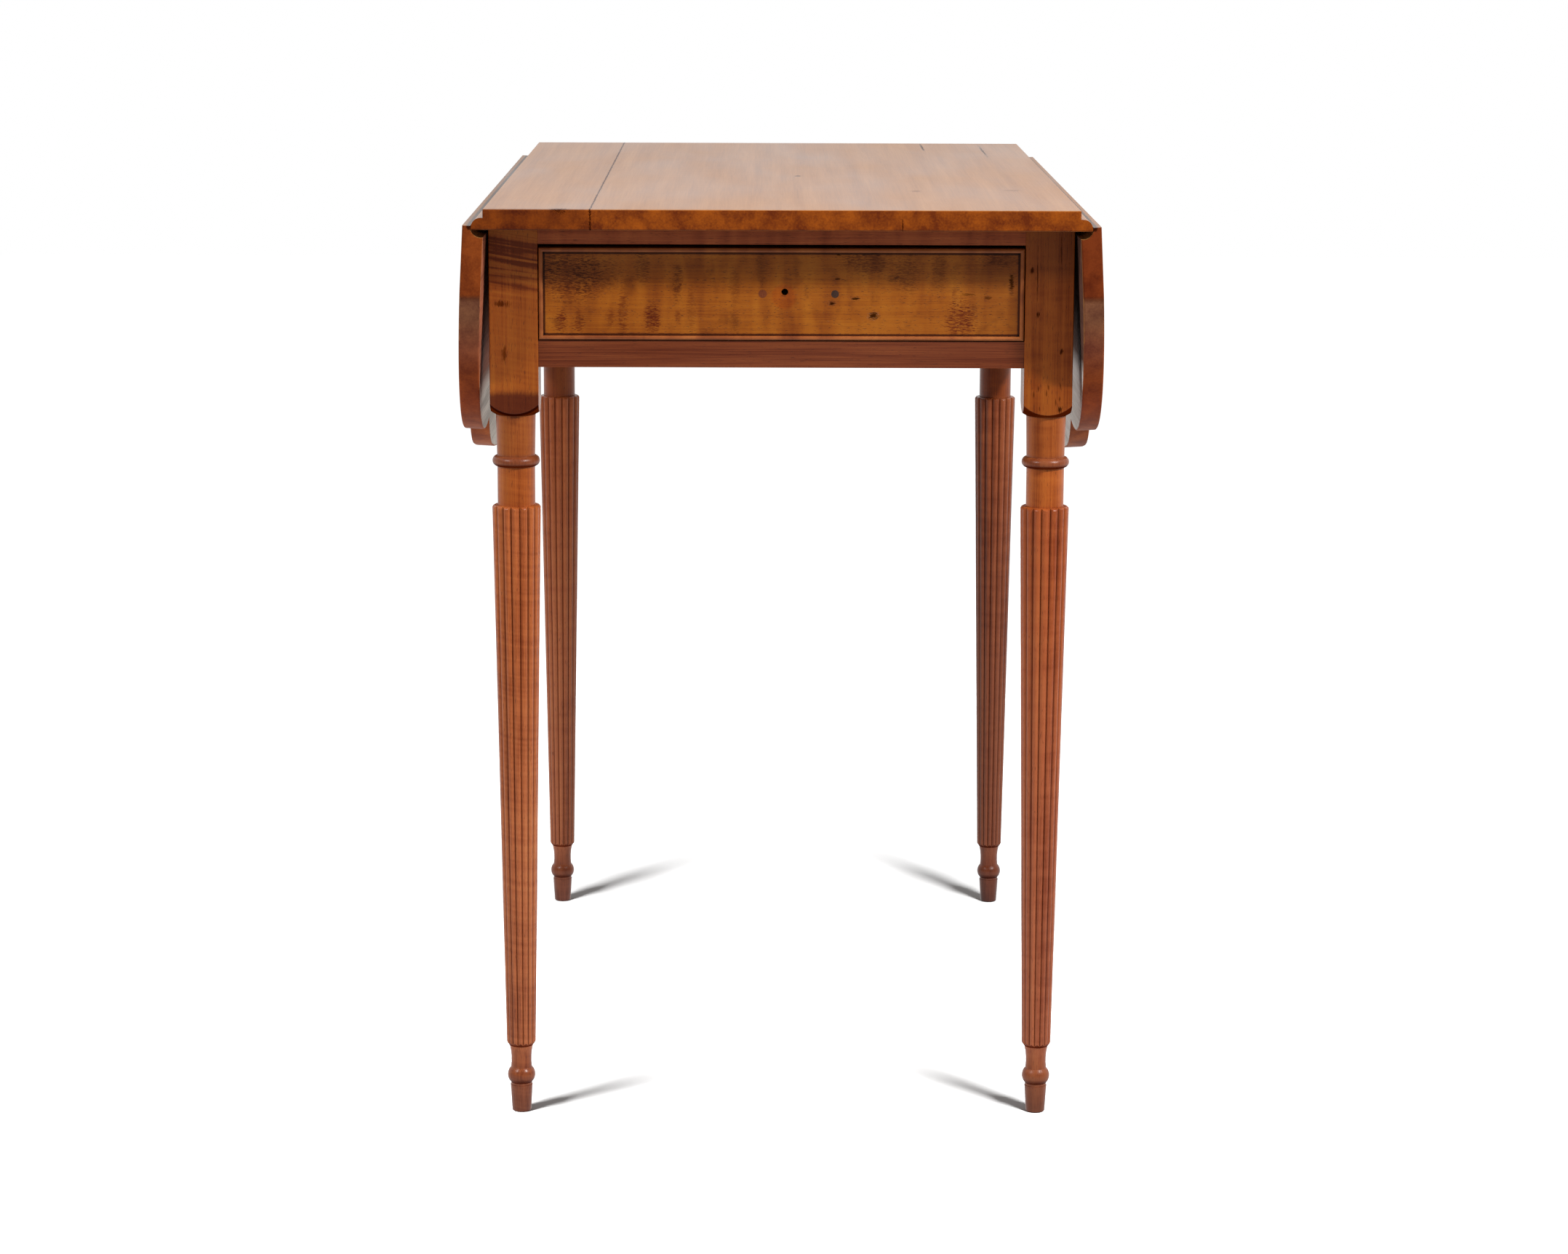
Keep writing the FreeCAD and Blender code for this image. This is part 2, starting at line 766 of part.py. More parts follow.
# A leg about its own axis: turned foot, bulb, ankle, necks and ring, square block, reeded shaft.
leg_blank = doc.addObject("PartDesign::Body", "leg_blank")
bulb_low = size.foot_height + size.quirk_height
bulb_high = bulb_low + size.bulb_height
reed_low = bulb_high + size.ankle_length
block_low = under_top - size.block_length
ring_high = block_low - size.upper_neck_length
ring_low = ring_high - size.ring_height
reed_high = ring_low - size.lower_neck_length


def bulge(height, rise):
    # The radius of an arc from its chord and its rise.
    return (height * height / 4 + rise * rise) / (rise * 2)


bulb_arc = bulge(size.bulb_height, size.bulb_radius - size.quirk_radius)
ring_arc = bulge(size.ring_height, size.ring_radius - size.lower_neck_radius)
ankle_centre = (size.ankle_radius + size.ankle_sweep, bulb_high + size.ankle_waist_rise)
ankle_out = ankle_centre[0] - size.quirk_radius
ankle_arc_squared = ankle_out * ankle_out + size.ankle_waist_rise * size.ankle_waist_rise
ankle_top_rise = size.ankle_length - size.ankle_waist_rise
ankle_top_radius = ankle_centre[0] - root(ankle_arc_squared - ankle_top_rise * ankle_top_rise)
turning = sketch_on(leg_blank, "leg_turning_profile", "XZ_Plane")
trace(
    turning,
    [
        (0, 0),
        (size.foot_tip_radius, 0),
        (
            size.foot_tip_radius + size.foot_round,
            size.foot_round,
            (size.foot_tip_radius, size.foot_round),
            1,
            "y",
        ),
        (size.foot_top_radius, size.foot_height),
        (size.quirk_radius, size.foot_height),
        (size.quirk_radius, bulb_low),
        (
            size.quirk_radius,
            bulb_high,
            (size.bulb_radius - bulb_arc, bulb_low + size.bulb_height / 2),
            1,
            "y",
        ),
        (ankle_top_radius, reed_low, ankle_centre, -1, "y"),
        (size.core_radius, reed_low),
        (size.core_radius, reed_high),
        (size.lower_neck_radius, reed_high),
        (size.lower_neck_radius, ring_low),
        (
            size.lower_neck_radius,
            ring_high,
            (size.ring_radius - ring_arc, ring_low + size.ring_height / 2),
            1,
            "y",
        ),
        (size.upper_neck_radius, ring_high),
        (size.upper_neck_top_radius, block_low),
        (0, block_low),
    ],
)
turned(leg_blank, "leg_turning", turning)
block_outline = sketch_on(leg_blank, "leg_block_outline", "XY_Plane", block_low)
trace(
    block_outline,
    [
        (-half_block, -half_block),
        (half_block, -half_block),
        (half_block, half_block),
        (-half_block, half_block),
    ],
)
pad(leg_blank, "leg_block", block_outline, size.block_length)

# The lower end of the block is turned away to a round shoulder.
corner_radius = size.block_size * root(as_size(2)) / 2 + cut_end
shoulder_centre = (
    size.upper_neck_top_radius - size.block_shoulder_back,
    block_low + size.block_shoulder_rise,
)
shoulder_arc = root(
    size.block_shoulder_back * size.block_shoulder_back + size.block_shoulder_rise * size.block_shoulder_rise
)
shoulder_out = corner_radius - shoulder_centre[0]
shoulder_high = shoulder_centre[1] - root(shoulder_arc * shoulder_arc - shoulder_out * shoulder_out)
shoulder_cut = sketch_on(leg_blank, "leg_shoulder_profile", "XZ_Plane")
trace(
    shoulder_cut,
    [
        (size.upper_neck_top_radius, block_low),
        (corner_radius, shoulder_high, shoulder_centre, 1, "x"),
        (corner_radius, block_low),
    ],
)
turned(leg_blank, "leg_shoulder", shoulder_cut, "PartDesign::Groove")


def block_edge(box):
    # The four upright edges of the square block.
    on_side = level_with(abs(box.XMin), abs(box.XMax), half_block)
    on_end = level_with(abs(box.YMin), abs(box.YMax), half_block)
    return on_side and on_end and box.ZMax - box.ZMin > near


soften(leg_blank, "leg_block_arris", size.arris_round, block_edge)


def reed_section(name, outer_radius, rise):
    # A ring of convex reeds that meet in sharp valleys.
    sketch = sketch_on(leg_blank, name, "XY_Plane", rise)
    step = math.tau / reed_count
    half_sine = math.sin(step / 2)
    ring = outer_radius / (1 + reed_bulge_share * half_sine)
    reed = ring * reed_bulge_share * half_sine
    valley = ring.value * math.cos(step / 2) + math.sqrt(reed.value**2 - (ring.value * half_sine) ** 2)
    for number in range(reed_count):
        turn = number * step
        centre = FreeCAD.Vector(ring.value * math.cos(turn), ring.value * math.sin(turn), 0)
        edges = [
            FreeCAD.Vector(valley * math.cos(angle), valley * math.sin(angle), 0)
            for angle in ((number - 0.5) * step, (number + 0.5) * step)
        ]
        angles = [math.atan2(edge.y - centre.y, edge.x - centre.x) for edge in edges]
        if angles[1] < angles[0]:
            angles[1] += math.tau
        circle = Part.Circle(centre, FreeCAD.Vector(0, 0, 1), reed.value)
        sketch.addGeometry(Part.ArcOfCircle(circle, *angles))
    links = []
    for number in range(reed_count):
        links.append(Sketcher.Constraint("Coincident", number, 2, (number + 1) % reed_count, 1))
    links += [Sketcher.Constraint("Equal", 0, number) for number in range(1, reed_count)]
    sketch.addConstraint(links)
    fixed = [(Sketcher.Constraint("Radius", 0, reed.value), reed)]
    for number in range(reed_count):
        for axis, share in (("X", math.cos(number * step)), ("Y", math.sin(number * step))):
            amount = ring * round(share, 12)
            rule = Sketcher.Constraint(f"Distance{axis}", -1, 1, number, 3, amount.value)
            fixed.append((rule, amount))
    indexes = sketch.addConstraint([rule for rule, _ in fixed])
    for index, (_, amount) in zip(indexes, fixed):
        bind(sketch, f"Constraints[{index}]", amount)
    return sketch


reeds = leg_blank.newObject("PartDesign::AdditiveLoft", "leg_reeds")
reeds.Profile = reed_section("leg_reeds_low", size.reed_bottom_radius, reed_low)
reeds.Sections = [reed_section("leg_reeds_high", size.reed_top_radius, reed_high)]
reeds.Ruled = True
doc.recompute()
reeded_volume = leg_blank.Shape.Volume

# The reeds are rounded over at the top and rolled in to the ankle below.
tip_radius = size.reed_top_radius - size.reed_tip_round
tip_cut = sketch_on(leg_blank, "reed_tip_profile", "XZ_Plane")
trace(
    tip_cut,
    [
        (tip_radius, reed_high + cut_end),
        (tip_radius, reed_high),
        (
            size.reed_top_radius,
            reed_high - size.reed_tip_round,
            (tip_radius, reed_high - size.reed_tip_round),
            -1,
            "y",
        ),
        (size.reed_top_radius + cut_end, reed_high - size.reed_tip_round),
        (size.reed_top_radius + cut_end, reed_high + cut_end),
    ],
)
turned(leg_blank, "reed_tips", tip_cut, "PartDesign::Groove")
end_centre = (ankle_top_radius - size.reed_end_back, reed_low + size.reed_end_rise)
end_arc = root(size.reed_end_back * size.reed_end_back + size.reed_end_rise * size.reed_end_rise)
end_radius = end_centre[0] + end_arc
end_cut = sketch_on(leg_blank, "reed_end_profile", "XZ_Plane")
trace(
    end_cut,
    [
        (ankle_top_radius, reed_low),
        (end_radius, end_centre[1], end_centre, 1, "y"),
        (end_radius + cut_end, end_centre[1]),
        (end_radius + cut_end, reed_low),
    ],
)
turned(leg_blank, "reed_ends", end_cut, "PartDesign::Groove")
put(leg_blank, (leg_x, -leg_y, 0))
doc.recompute()
print("reeding removed at its ends:", round(reeded_volume - leg_blank.Shape.Volume, 1))

leg_front_left = mirror("leg_front_left_blank", leg_blank)
leg_rear_right = mirror("leg_rear_right_blank", leg_blank, "y")
leg_rear_left = mirror("leg_rear_left_blank", leg_rear_right)
keep(cut("leg_front_right", leg_blank, [side_rail_right, lower_rail, upper_rail]))
keep(cut("leg_front_left", leg_front_left, [side_rail_left, lower_rail, upper_rail]))
keep(cut("leg_rear_right", leg_rear_right, [side_rail_right, back_rail]))
keep(cut("leg_rear_left", leg_rear_left, [side_rail_left, back_rail]))

# Fly rails outside the side rails. A bracket swings on a wooden knuckle to hold up the raised leaf.
fly_x = (side_outer_x, side_outer_x + size.fly_thickness)
fly_axis_x = side_outer_x + size.fly_thickness / 2
fly_high = under_top - size.fly_top_gap
fly_low = fly_high - size.fly_height
knuckle = size.fly_thickness / 2
knuckle_room = knuckle + size.fly_knuckle_clearance
finger_height = size.fly_height / fly_finger_count
tip_y = size.fly_pivot_along - size.bracket_length
fly_barrel_place = (fly_axis_x, size.fly_pivot_along, fly_low)
fixed_rooms = []
bracket_rooms = []
for number in range(fly_finger_count):
    low = fly_low + finger_height * number
    place = (fly_axis_x, size.fly_pivot_along, low)
    if number % 2:
        fixed_rooms.append(rod(f"fly_room_{number}", knuckle_room, place, finger_height))
    else:
        start = low - size.knuckle_gap
        place = (fly_axis_x, size.fly_pivot_along, start)
        room_height = finger_height + size.knuckle_gap * 2
        bracket_rooms.append(rod(f"fly_room_{number}", knuckle_room, place, room_height))
fly_screw_places = {
    "rear": block_inner_y - size.fly_screw_inset,
    "front": -block_inner_y + size.fly_screw_inset,
}
fly_screws = []
for place_name, middle in fly_screw_places.items():
    for number, share in enumerate((1, 3), start=1):
        place = (fly_x[1], middle, fly_low + size.fly_height * share / 4)
        fly_screws.append(
            screw(
                f"fly_screw_{place_name}_{number}",
                size.fly_screw_head_radius,
                size.fly_screw_radius,
                size.fly_screw_length,
                place,
                "-x",
            )
        )
fly_rear_blank = fuse(
    "fly_rail_rear_blank",
    [
        board("fly_rear_board", fly_x, (size.fly_pivot_along, block_inner_y), (fly_low, fly_high)),
        rod("fly_rear_barrel", knuckle, fly_barrel_place, size.fly_height),
    ],
)
fly_bore_start = (fly_axis_x, size.fly_pivot_along, fly_low - cut_end)
fly_bore_length = size.fly_height + cut_end * 2
fly_fixed_bore = rod("fly_fixed_bore", size.fly_pin_radius, fly_bore_start, fly_bore_length)
fly_running_bore = rod(
    "fly_running_bore", size.fly_pin_radius + size.running_clearance, fly_bore_start, fly_bore_length
)
fly_rear = cut("fly_rail_rear_right", fly_rear_blank, fixed_rooms + [fly_fixed_bore] + fly_screws[:2])
fly_front_y = tip_y - size.bracket_end_gap
fly_front_blank = solid(
    "fly_rail_front_blank",
    "YZ_Plane",
    fly_x[0],
    [
        (-block_inner_y, fly_low),
        (fly_front_y - size.bracket_end_slant, fly_low),
        (fly_front_y, fly_high),
        (-block_inner_y, fly_high),
    ],
    size.fly_thickness,
)
fly_front = cut("fly_rail_front_right", fly_front_blank, fly_screws[2:])

# The bracket's lower edge sweeps up from the knuckle to its tip in one hollow curve.
sweep_y = size.fly_pivot_along - size.bracket_root_length
sweep_run = sweep_y - tip_y
sweep_rise = size.fly_height - size.bracket_tip_height
sweep_radius = (sweep_run * sweep_run + sweep_rise * sweep_rise) / (sweep_rise * 2)
tip_low = fly_high - size.bracket_tip_height
bracket_board = solid(
    "bracket_board",
    "YZ_Plane",
    fly_x[0],
    [
        (size.fly_pivot_along, fly_low),
        (size.fly_pivot_along, fly_high),
        (tip_y, fly_high),
        (tip_y, tip_low),
        (sweep_y, fly_low, (tip_y, tip_low - sweep_radius), -1, "x"),
    ],
    size.fly_thickness,
)
bracket_blank = fuse(
    "bracket_blank", [bracket_board, rod("bracket_barrel", knuckle, fly_barrel_place, size.fly_height)]
)
bracket = cut("fly_bracket_right", bracket_blank, bracket_rooms + [fly_running_bore])
fly_pin = rod("fly_pin_right", size.fly_pin_radius, fly_barrel_place, size.fly_height)
fly_screw_set = group("fly_rail_screws_right", fly_screws)
fly_set = {
    "fly_rail_rear": fly_rear,
    "fly_rail_front": fly_front,
    "fly_bracket": bracket,
    "fly_pin": fly_pin,
    "fly_rail_screws": fly_screw_set,
}
for name, item in fly_set.items():
    keep(item)
    keep(mirror(f"{name}_left", item))

# The drawer. Its sides are dovetailed to the front and the back, and the bottom slides in grooves.
drawer_x = block_inner_x - size.drawer_side_clearance
side_x = drawer_x - size.drawer_side_thickness
front_y = -face_y
front_inner_y = front_y + size.drawer_front_thickness
back_y = rail_inner_y - size.drawer_back_gap
back_inner_y = back_y - size.drawer_back_thickness
side_low = drawer_floor + size.drawer_run_clearance
side_high = side_low + size.drawer_side_height
front_low = drawer_floor + size.drawer_front_lift
front_high = front_low + size.drawer_front_height
bottom_low = side_low + size.drawer_bottom_lift
bottom_high = bottom_low + size.drawer_bottom_thickness

nails = [
    rod(
        f"drawer_nail_{number}",
        size.nail_radius,
        (number * size.nail_spacing, back_y - size.drawer_back_thickness / 2, bottom_low),
        size.nail_length,
    )
    for number in (-1, 0, 1)
]
keep(group("drawer_bottom_nails", nails))
bottom_blank = board(
    "drawer_bottom_blank",
    (-side_x - size.groove_depth, side_x + size.groove_depth),
    (front_inner_y - size.groove_depth, back_y),
    (bottom_low, bottom_high),
)
drawer_bottom = keep(cut("drawer_bottom", bottom_blank, nails))

# Tails run up each end of the side, wider at their tips.
lap_y = front_y + size.drawer_lap
tail_half = size.drawer_side_height * dovetail_width_share / 2
front_tails = []
back_tails = []
for share in dovetail_low_shares:
    middle = side_low + size.drawer_side_height * share
    front_tails += [
        (front_inner_y, middle + tail_half),
        (lap_y, middle + tail_half + size.dovetail_flare),
        (lap_y, middle - tail_half - size.dovetail_flare),
        (front_inner_y, middle - tail_half),
    ]
    back_tails += [
        (back_inner_y, middle - tail_half),
        (back_y, middle - tail_half - size.dovetail_flare),
        (back_y, middle + tail_half + size.dovetail_flare),
        (back_inner_y, middle + tail_half),
    ]
front_tails = [step for first in (8, 4, 0) for step in front_tails[first : first + 4]]
side_steps = [(front_inner_y, side_low), (back_inner_y, side_low)] + back_tails
side_steps += [(back_inner_y, side_high), (front_inner_y, side_high)] + front_tails
side_blank = solid("drawer_side_blank", "YZ_Plane", side_x, side_steps, size.drawer_side_thickness)
drawer_side_right = keep(cut("drawer_side_right", side_blank, [drawer_bottom]))
drawer_side_left = keep(mirror("drawer_side_left", drawer_side_right))
back_blank = board(
    "drawer_back_blank",
    (-drawer_x, drawer_x),
    (back_inner_y, back_y),
    (bottom_high, side_high - size.drawer_back_drop),
)
keep(cut("drawer_back", back_blank, [drawer_side_left, drawer_side_right] + nails))

# Cock beading: mitred strips with a rounded nose, in a rebate round the drawer front.
bead_inner_x = drawer_x - size.bead_width
bead_low = front_low + size.bead_width
bead_high = front_high - size.bead_width
nose_y = front_y - size.bead_proud
bead_back_y = front_y + size.bead_depth


bead_arc = bulge(size.bead_width, size.bead_nose)
nose_foot = nose_y + size.bead_nose
nose_centre = nose_y + bead_arc
miter_reach = size.bead_width + cut_end
outer_x = bead_inner_x + miter_reach
outer_low = bead_low - miter_reach
outer_high = bead_high + miter_reach
inner = (
    (-bead_inner_x, bead_low),
    (bead_inner_x, bead_low),
    (bead_inner_x, bead_high),
    (-bead_inner_x, bead_high),
)
outer = ((-outer_x, outer_low), (outer_x, outer_low), (outer_x, outer_high), (-outer_x, outer_high))


def bead_blank(name, low, high, level):
    # A strip with its rounded nose, longer than it will be.
    middle = (low + high) / 2
    if level:
        steps = [
            (bead_back_y, low),
            (bead_back_y, high),
            (nose_foot, high),
            (nose_foot, low, (nose_centre, middle), 1, "x"),
        ]
        return solid(name, "YZ_Plane", -outer_x, steps, outer_x * 2)
    steps = [
        (high, bead_back_y),
        (low, bead_back_y),
        (low, nose_foot),
        (high, nose_foot, (middle, nose_centre), 1, "y"),
    ]
    return solid(name, "XY_Plane", outer_low, steps, outer_high - outer_low)


bead_spans = {
    "bottom": (front_low, bead_low, True),
    "right": (bead_inner_x, drawer_x, False),
    "top": (bead_high, front_high, True),
    "left": (-drawer_x, -bead_inner_x, False),
}
wedge_front = nose_y - cut_end
wedge_back = bead_back_y + cut_end
for number, (name, span) in enumerate(bead_spans.items()):
    after = (number + 1) % len(inner)
    miters = [inner[number], outer[number], outer[after], inner[after]]
    strip = doc.addObject("Part::Common", f"cock_bead_{name}")
    strip.Base = bead_blank(f"bead_{name}_blank", *span)
    strip.Tool = solid(f"bead_{name}_wedge", "XZ_Plane", -wedge_back, miters, wedge_back - wedge_front)
    keep(strip)

# The drawer front, with the rebate, the sockets of the dovetails, the pull's hole and two plugged holes.
panel = board(
    "drawer_front_panel",
    (-bead_inner_x, bead_inner_x),
    (front_y, bead_back_y),
    (bead_low, bead_high),
)
core = board(
    "drawer_front_core",
    (-drawer_x, drawer_x),
    (bead_back_y, front_inner_y),
    (front_low, front_high),
)
rebated_front = fuse("drawer_front_rebated", [panel, core])
pull_z = front_high - size.pull_drop
plug_z = front_high - size.plug_drop
pull_hole = rod(
    "pull_hole",
    size.pull_hole_radius,
    (size.pull_offset, front_y - cut_end, pull_z),
    size.drawer_front_thickness + cut_end * 2,
    "y",
)
left_plug_place = (size.plug_left_offset, front_y, plug_z)
right_plug_place = (size.plug_right_offset, front_y, plug_z)
plug_left = keep(rod("pull_plug_left", size.plug_left_radius, left_plug_place, size.plug_depth, "y"))
plug_right = keep(rod("pull_plug_right", size.plug_right_radius, right_plug_place, size.plug_depth, "y"))
keep(
    cut(
        "drawer_front",
        rebated_front,
        [drawer_side_left, drawer_side_right, drawer_bottom, pull_hole, plug_left, plug_right],
    )
)

doc.recompute()
faults = [item.Name for item in doc.Objects if {"Invalid", "Error"} & set(item.State)]
for piece in pieces:
    shape = piece.Shape
    if shape.isNull() or not shape.isValid() or not shape.Solids:
        faults.append(piece.Label)
if faults:
    raise RuntimeError("not built: " + ", ".join(sorted(set(faults))))
os.makedirs("parts", exist_ok=True)
for piece in pieces:
    piece.Shape.exportStep(f"parts/{piece.Label}.step")
print("pieces:", len(pieces))
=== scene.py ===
import math

import bpy
from mathutils import Matrix, Vector

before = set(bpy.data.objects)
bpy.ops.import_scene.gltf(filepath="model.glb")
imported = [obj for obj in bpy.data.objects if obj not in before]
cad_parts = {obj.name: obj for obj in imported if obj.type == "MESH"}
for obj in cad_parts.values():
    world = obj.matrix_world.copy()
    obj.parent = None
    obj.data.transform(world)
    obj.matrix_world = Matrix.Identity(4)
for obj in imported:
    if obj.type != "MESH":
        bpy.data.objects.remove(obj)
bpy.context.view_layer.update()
scene = bpy.context.scene
scene.view_settings.view_transform = "Standard"
print("frame loaded:", len(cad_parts), "nodes")


def linear(code):  # sRGB hex to linear
    parts = [int(code[at:at + 2], 16) / 255 for at in (1, 3, 5)]
    return [*(c / 12.92 if c <= 0.04045 else ((c + 0.055) / 1.055) ** 2.4 for c in parts), 1.0]


def node(tree, kind, sockets=(), out=0, stops=(), **settings):  # sockets in order, or by name or number
    made = tree.nodes.new("ShaderNode" + kind)
    for name, value in settings.items():
        setattr(made, name, value)
    for name, value in sockets.items() if isinstance(sockets, dict) else enumerate(sockets):
        if isinstance(value, bpy.types.NodeSocket):
            tree.links.new(value, made.inputs[name])
        else:
            made.inputs[name].default_value = value
    for number, (place, code) in enumerate(stops):
        row = made.color_ramp.elements
        stop = row[number] if number < 2 else row.new(place)
        stop.position, stop.color = place, linear(code)
    return made.outputs[out] if made.outputs else None


coverMix = {"out": 2, "data_type": "RGBA"}  # one colour laid over another
tintMix = {**coverMix, "blend_type": "MULTIPLY"}  # one colour times another


def rampOf(tree, value, rows):  # a colour for each length in mm
    reach = rows[-1][0]
    share = node(tree, "MapRange", (value, 0, reach / 1000, 0, 1))
    tints = [(length / reach, code) for length, code in rows]
    return node(tree, "ValToRGB", (share,), stops=(tints[0], tints[-1], *tints[1:-1]))


# Wood shared by all finishes: cell width across the grain, length along it (mm), and octaves.
woodLayers = {
    "fibre": (0.9, 70, 4),  # hair-fine streaks
    "band": (11, 420, 3),  # growth bands
    "drift": (70, 260, 2),  # slow change of stain
    "curl": (38, 8.5, 2),  # ripple across the grain
    "pore": (0.55, 5.5, 1),  # short open pores, drawn a little wide so that they show
    "cloud": (16, 16, 4),  # blotches
    "grit": (1.6, 1.6, 2),  # end-grain specks
}
woodNoise = {"Scale": 1, "Roughness": 0.55, "Distortion": 0.25}
woodSteps = {  # where each mask begins and ends, in noise or in a face's direction
    "tone": (0.22, 0.5, 0.8),  # dark, middle and pale colour
    "pores": (0.64, 0.74),
    "drift": (0.3, 0.7),
    "mottle": (0.5, 0.85),
    "streaks": (0.7, 1.0),
    "wobble": (0.3, 0.7),
    "dashes": (0.44, 0.58),
    "rim": (0.8, 0.96),
    "up": (0.5, 0.85),
    "bare": (0.97, 0.99),
    "down": (-0.2, -0.6),
    "valley": (0.02, 0.17),
}
markEdge = {
    "soft": 0.35,  # where a stain begins to fade, as a share of its reach
    "firm": 0.75,  # the same for a firm mark
    "end": 1.1,
    "ragged": 0.9,  # how far the grain breaks a stain's edge
    "dash": 0.25,  # what is left of a stain between its dashes
}
woodShares = {"grit": 0.35, "fibre": 0.8, "pore": -0.2}  # beside clouds, beside bands, and in the relief
woodBump = {"Strength": 0.5, "Distance": 0.0006}
polishIor = 1.5  # shellac


def stainedWood(name, look, marks=()):
    material = bpy.data.materials.new(name)
    material.use_nodes = True
    tree = material.node_tree
    tree.nodes.clear()
    place = node(tree, "TexCoord", out="Object")
    facing = node(tree, "TexCoord", out="Normal")
    spot = [node(tree, "SeparateXYZ", (place,), out=axis) for axis in range(3)]
    aspect = [node(tree, "SeparateXYZ", (facing,), out=axis) for axis in range(3)]
    height = spot[2]
    layer = {}
    for part, (across, along, octaves) in {**woodLayers, **look.get("layers", {})}.items():
        cell = [across / 1000] * 3
        cell["XYZ".index(look["grain"])] = along / 1000
        lean = math.radians(look.get("curlLean", 0)) if part == "curl" else 0
        grid = {"Location": look.get("shift", (0, 0, 0)), "Rotation": (0, lean, 0), "Scale": cell}
        cells = node(tree, "Mapping", {"Vector": place, **grid}, vector_type="TEXTURE")
        layer[part] = node(tree, "TexNoise", {"Vector": cells, "Detail": octaves, **woodNoise})

    tone = 0.5 - sum(look["tone"].values()) / 2  # every layer adds to one tone
    for part, amount in look["tone"].items():
        tone = node(tree, "Math", (layer[part], amount, tone), operation="MULTIPLY_ADD")
    if "curlAbove" in look:  # more ripple above a height
        low, high, amount = look["curlAbove"]
        more = node(tree, "MapRange", (height, low / 1000, high / 1000, 0, amount))
        ripple = node(tree, "Math", (layer["curl"], 0.5), operation="SUBTRACT")
        tone = node(tree, "Math", (ripple, more, tone), operation="MULTIPLY_ADD")
    dark, mid, pale = zip(woodSteps["tone"], look["colours"])
    colour = node(tree, "ValToRGB", (tone,), stops=(dark, pale, mid))
    if "zones" in look:
        tint = rampOf(tree, height, look["zones"])
        colour = node(tree, "Mix", {0: 1, 6: colour, 7: tint}, **tintMix)

    if look.get("clouds"):  # dark stains that gather by chance
        low, high, amount = look["clouds"]
        mask = node(tree, "MapRange", (layer["cloud"], low, high, 0, amount))
        colour = node(tree, "Mix", {0: mask, 6: colour, 7: linear(look["stain"])}, **tintMix)
    pores = node(tree, "MapRange", (layer["pore"], *woodSteps["pores"], 0, look["pores"]))
    colour = node(tree, "Mix", {0: pores, 6: colour, 7: linear(look["poreColour"])}, **coverMix)

    rough = node(tree, "MapRange", (layer["drift"], *woodSteps["drift"], *look["rough"]))
    sheen = look["sheen"]
    if "rim" in look:  # sawn edges drink more stain and shine less
        square = node(tree, "Math", (aspect["XYZ".index(look["rim"])],), operation="ABSOLUTE")
        rim = node(tree, "MapRange", (square, *woodSteps["rim"], 1, 0))
        up = node(tree, "MapRange", (aspect[2], *woodSteps["up"], 1, 0))
        rim = node(tree, "Math", (rim, up), operation="MULTIPLY")
        blotches = (layer["grit"], woodShares["grit"], layer["cloud"])
        mottle = node(tree, "Math", blotches, operation="MULTIPLY_ADD")
        tints = zip(woodSteps["mottle"], look["rimColours"])
        rimColour = node(tree, "ValToRGB", (mottle,), stops=tints)
        # tints by height, which on the leaves include painted reflection and painted shade
        if "rimTints" in look:
            tint = rampOf(tree, height, look["rimTints"])
            rimColour = node(tree, "Mix", {0: 1, 6: rimColour, 7: tint}, **tintMix)
        colour = node(tree, "Mix", {0: rim, 6: colour, 7: rimColour}, **coverMix)
        rough = node(tree, "Mix", {0: rim, 2: rough, 3: look["rimRough"]})
        sheen = node(tree, "Mix", {0: rim, 2: sheen, 3: look["rimSheen"]})
    if "bare" in look:  # the side that was never stained
        axis, sign, *tints = look["bare"]
        toward = node(tree, "Math", (aspect["XYZ".index(axis)], sign), operation="MULTIPLY")
        bare = node(tree, "MapRange", (toward, *woodSteps["bare"], 0, 1))
        growth = (layer["fibre"], woodShares["fibre"], layer["band"])
        streaks = node(tree, "Math", growth, operation="MULTIPLY_ADD")
        bareColour = node(tree, "ValToRGB", (streaks,), stops=zip(woodSteps["streaks"], tints))
        if "bareTints" in look:  # painted shade, darker toward the joint
            tint = rampOf(tree, height, look["bareTints"])
            bareColour = node(tree, "Mix", {0: 1, 6: bareColour, 7: tint}, **tintMix)
        colour = node(tree, "Mix", {0: bare, 6: colour, 7: bareColour}, **coverMix)
        rough = node(tree, "Mix", {0: bare, 2: rough, 3: look["bareRough"]})

    if "under" in look:  # painted shade on faces that look down, which also lose their shine
        down = node(tree, "MapRange", (aspect[2], *woodSteps["down"], 0, 1))
        colour = node(tree, "Mix", {0: down, 6: colour, 7: linear(look["under"])}, **tintMix)
        sheen = node(tree, "Mix", {0: down, 2: sheen, 3: 0.0})

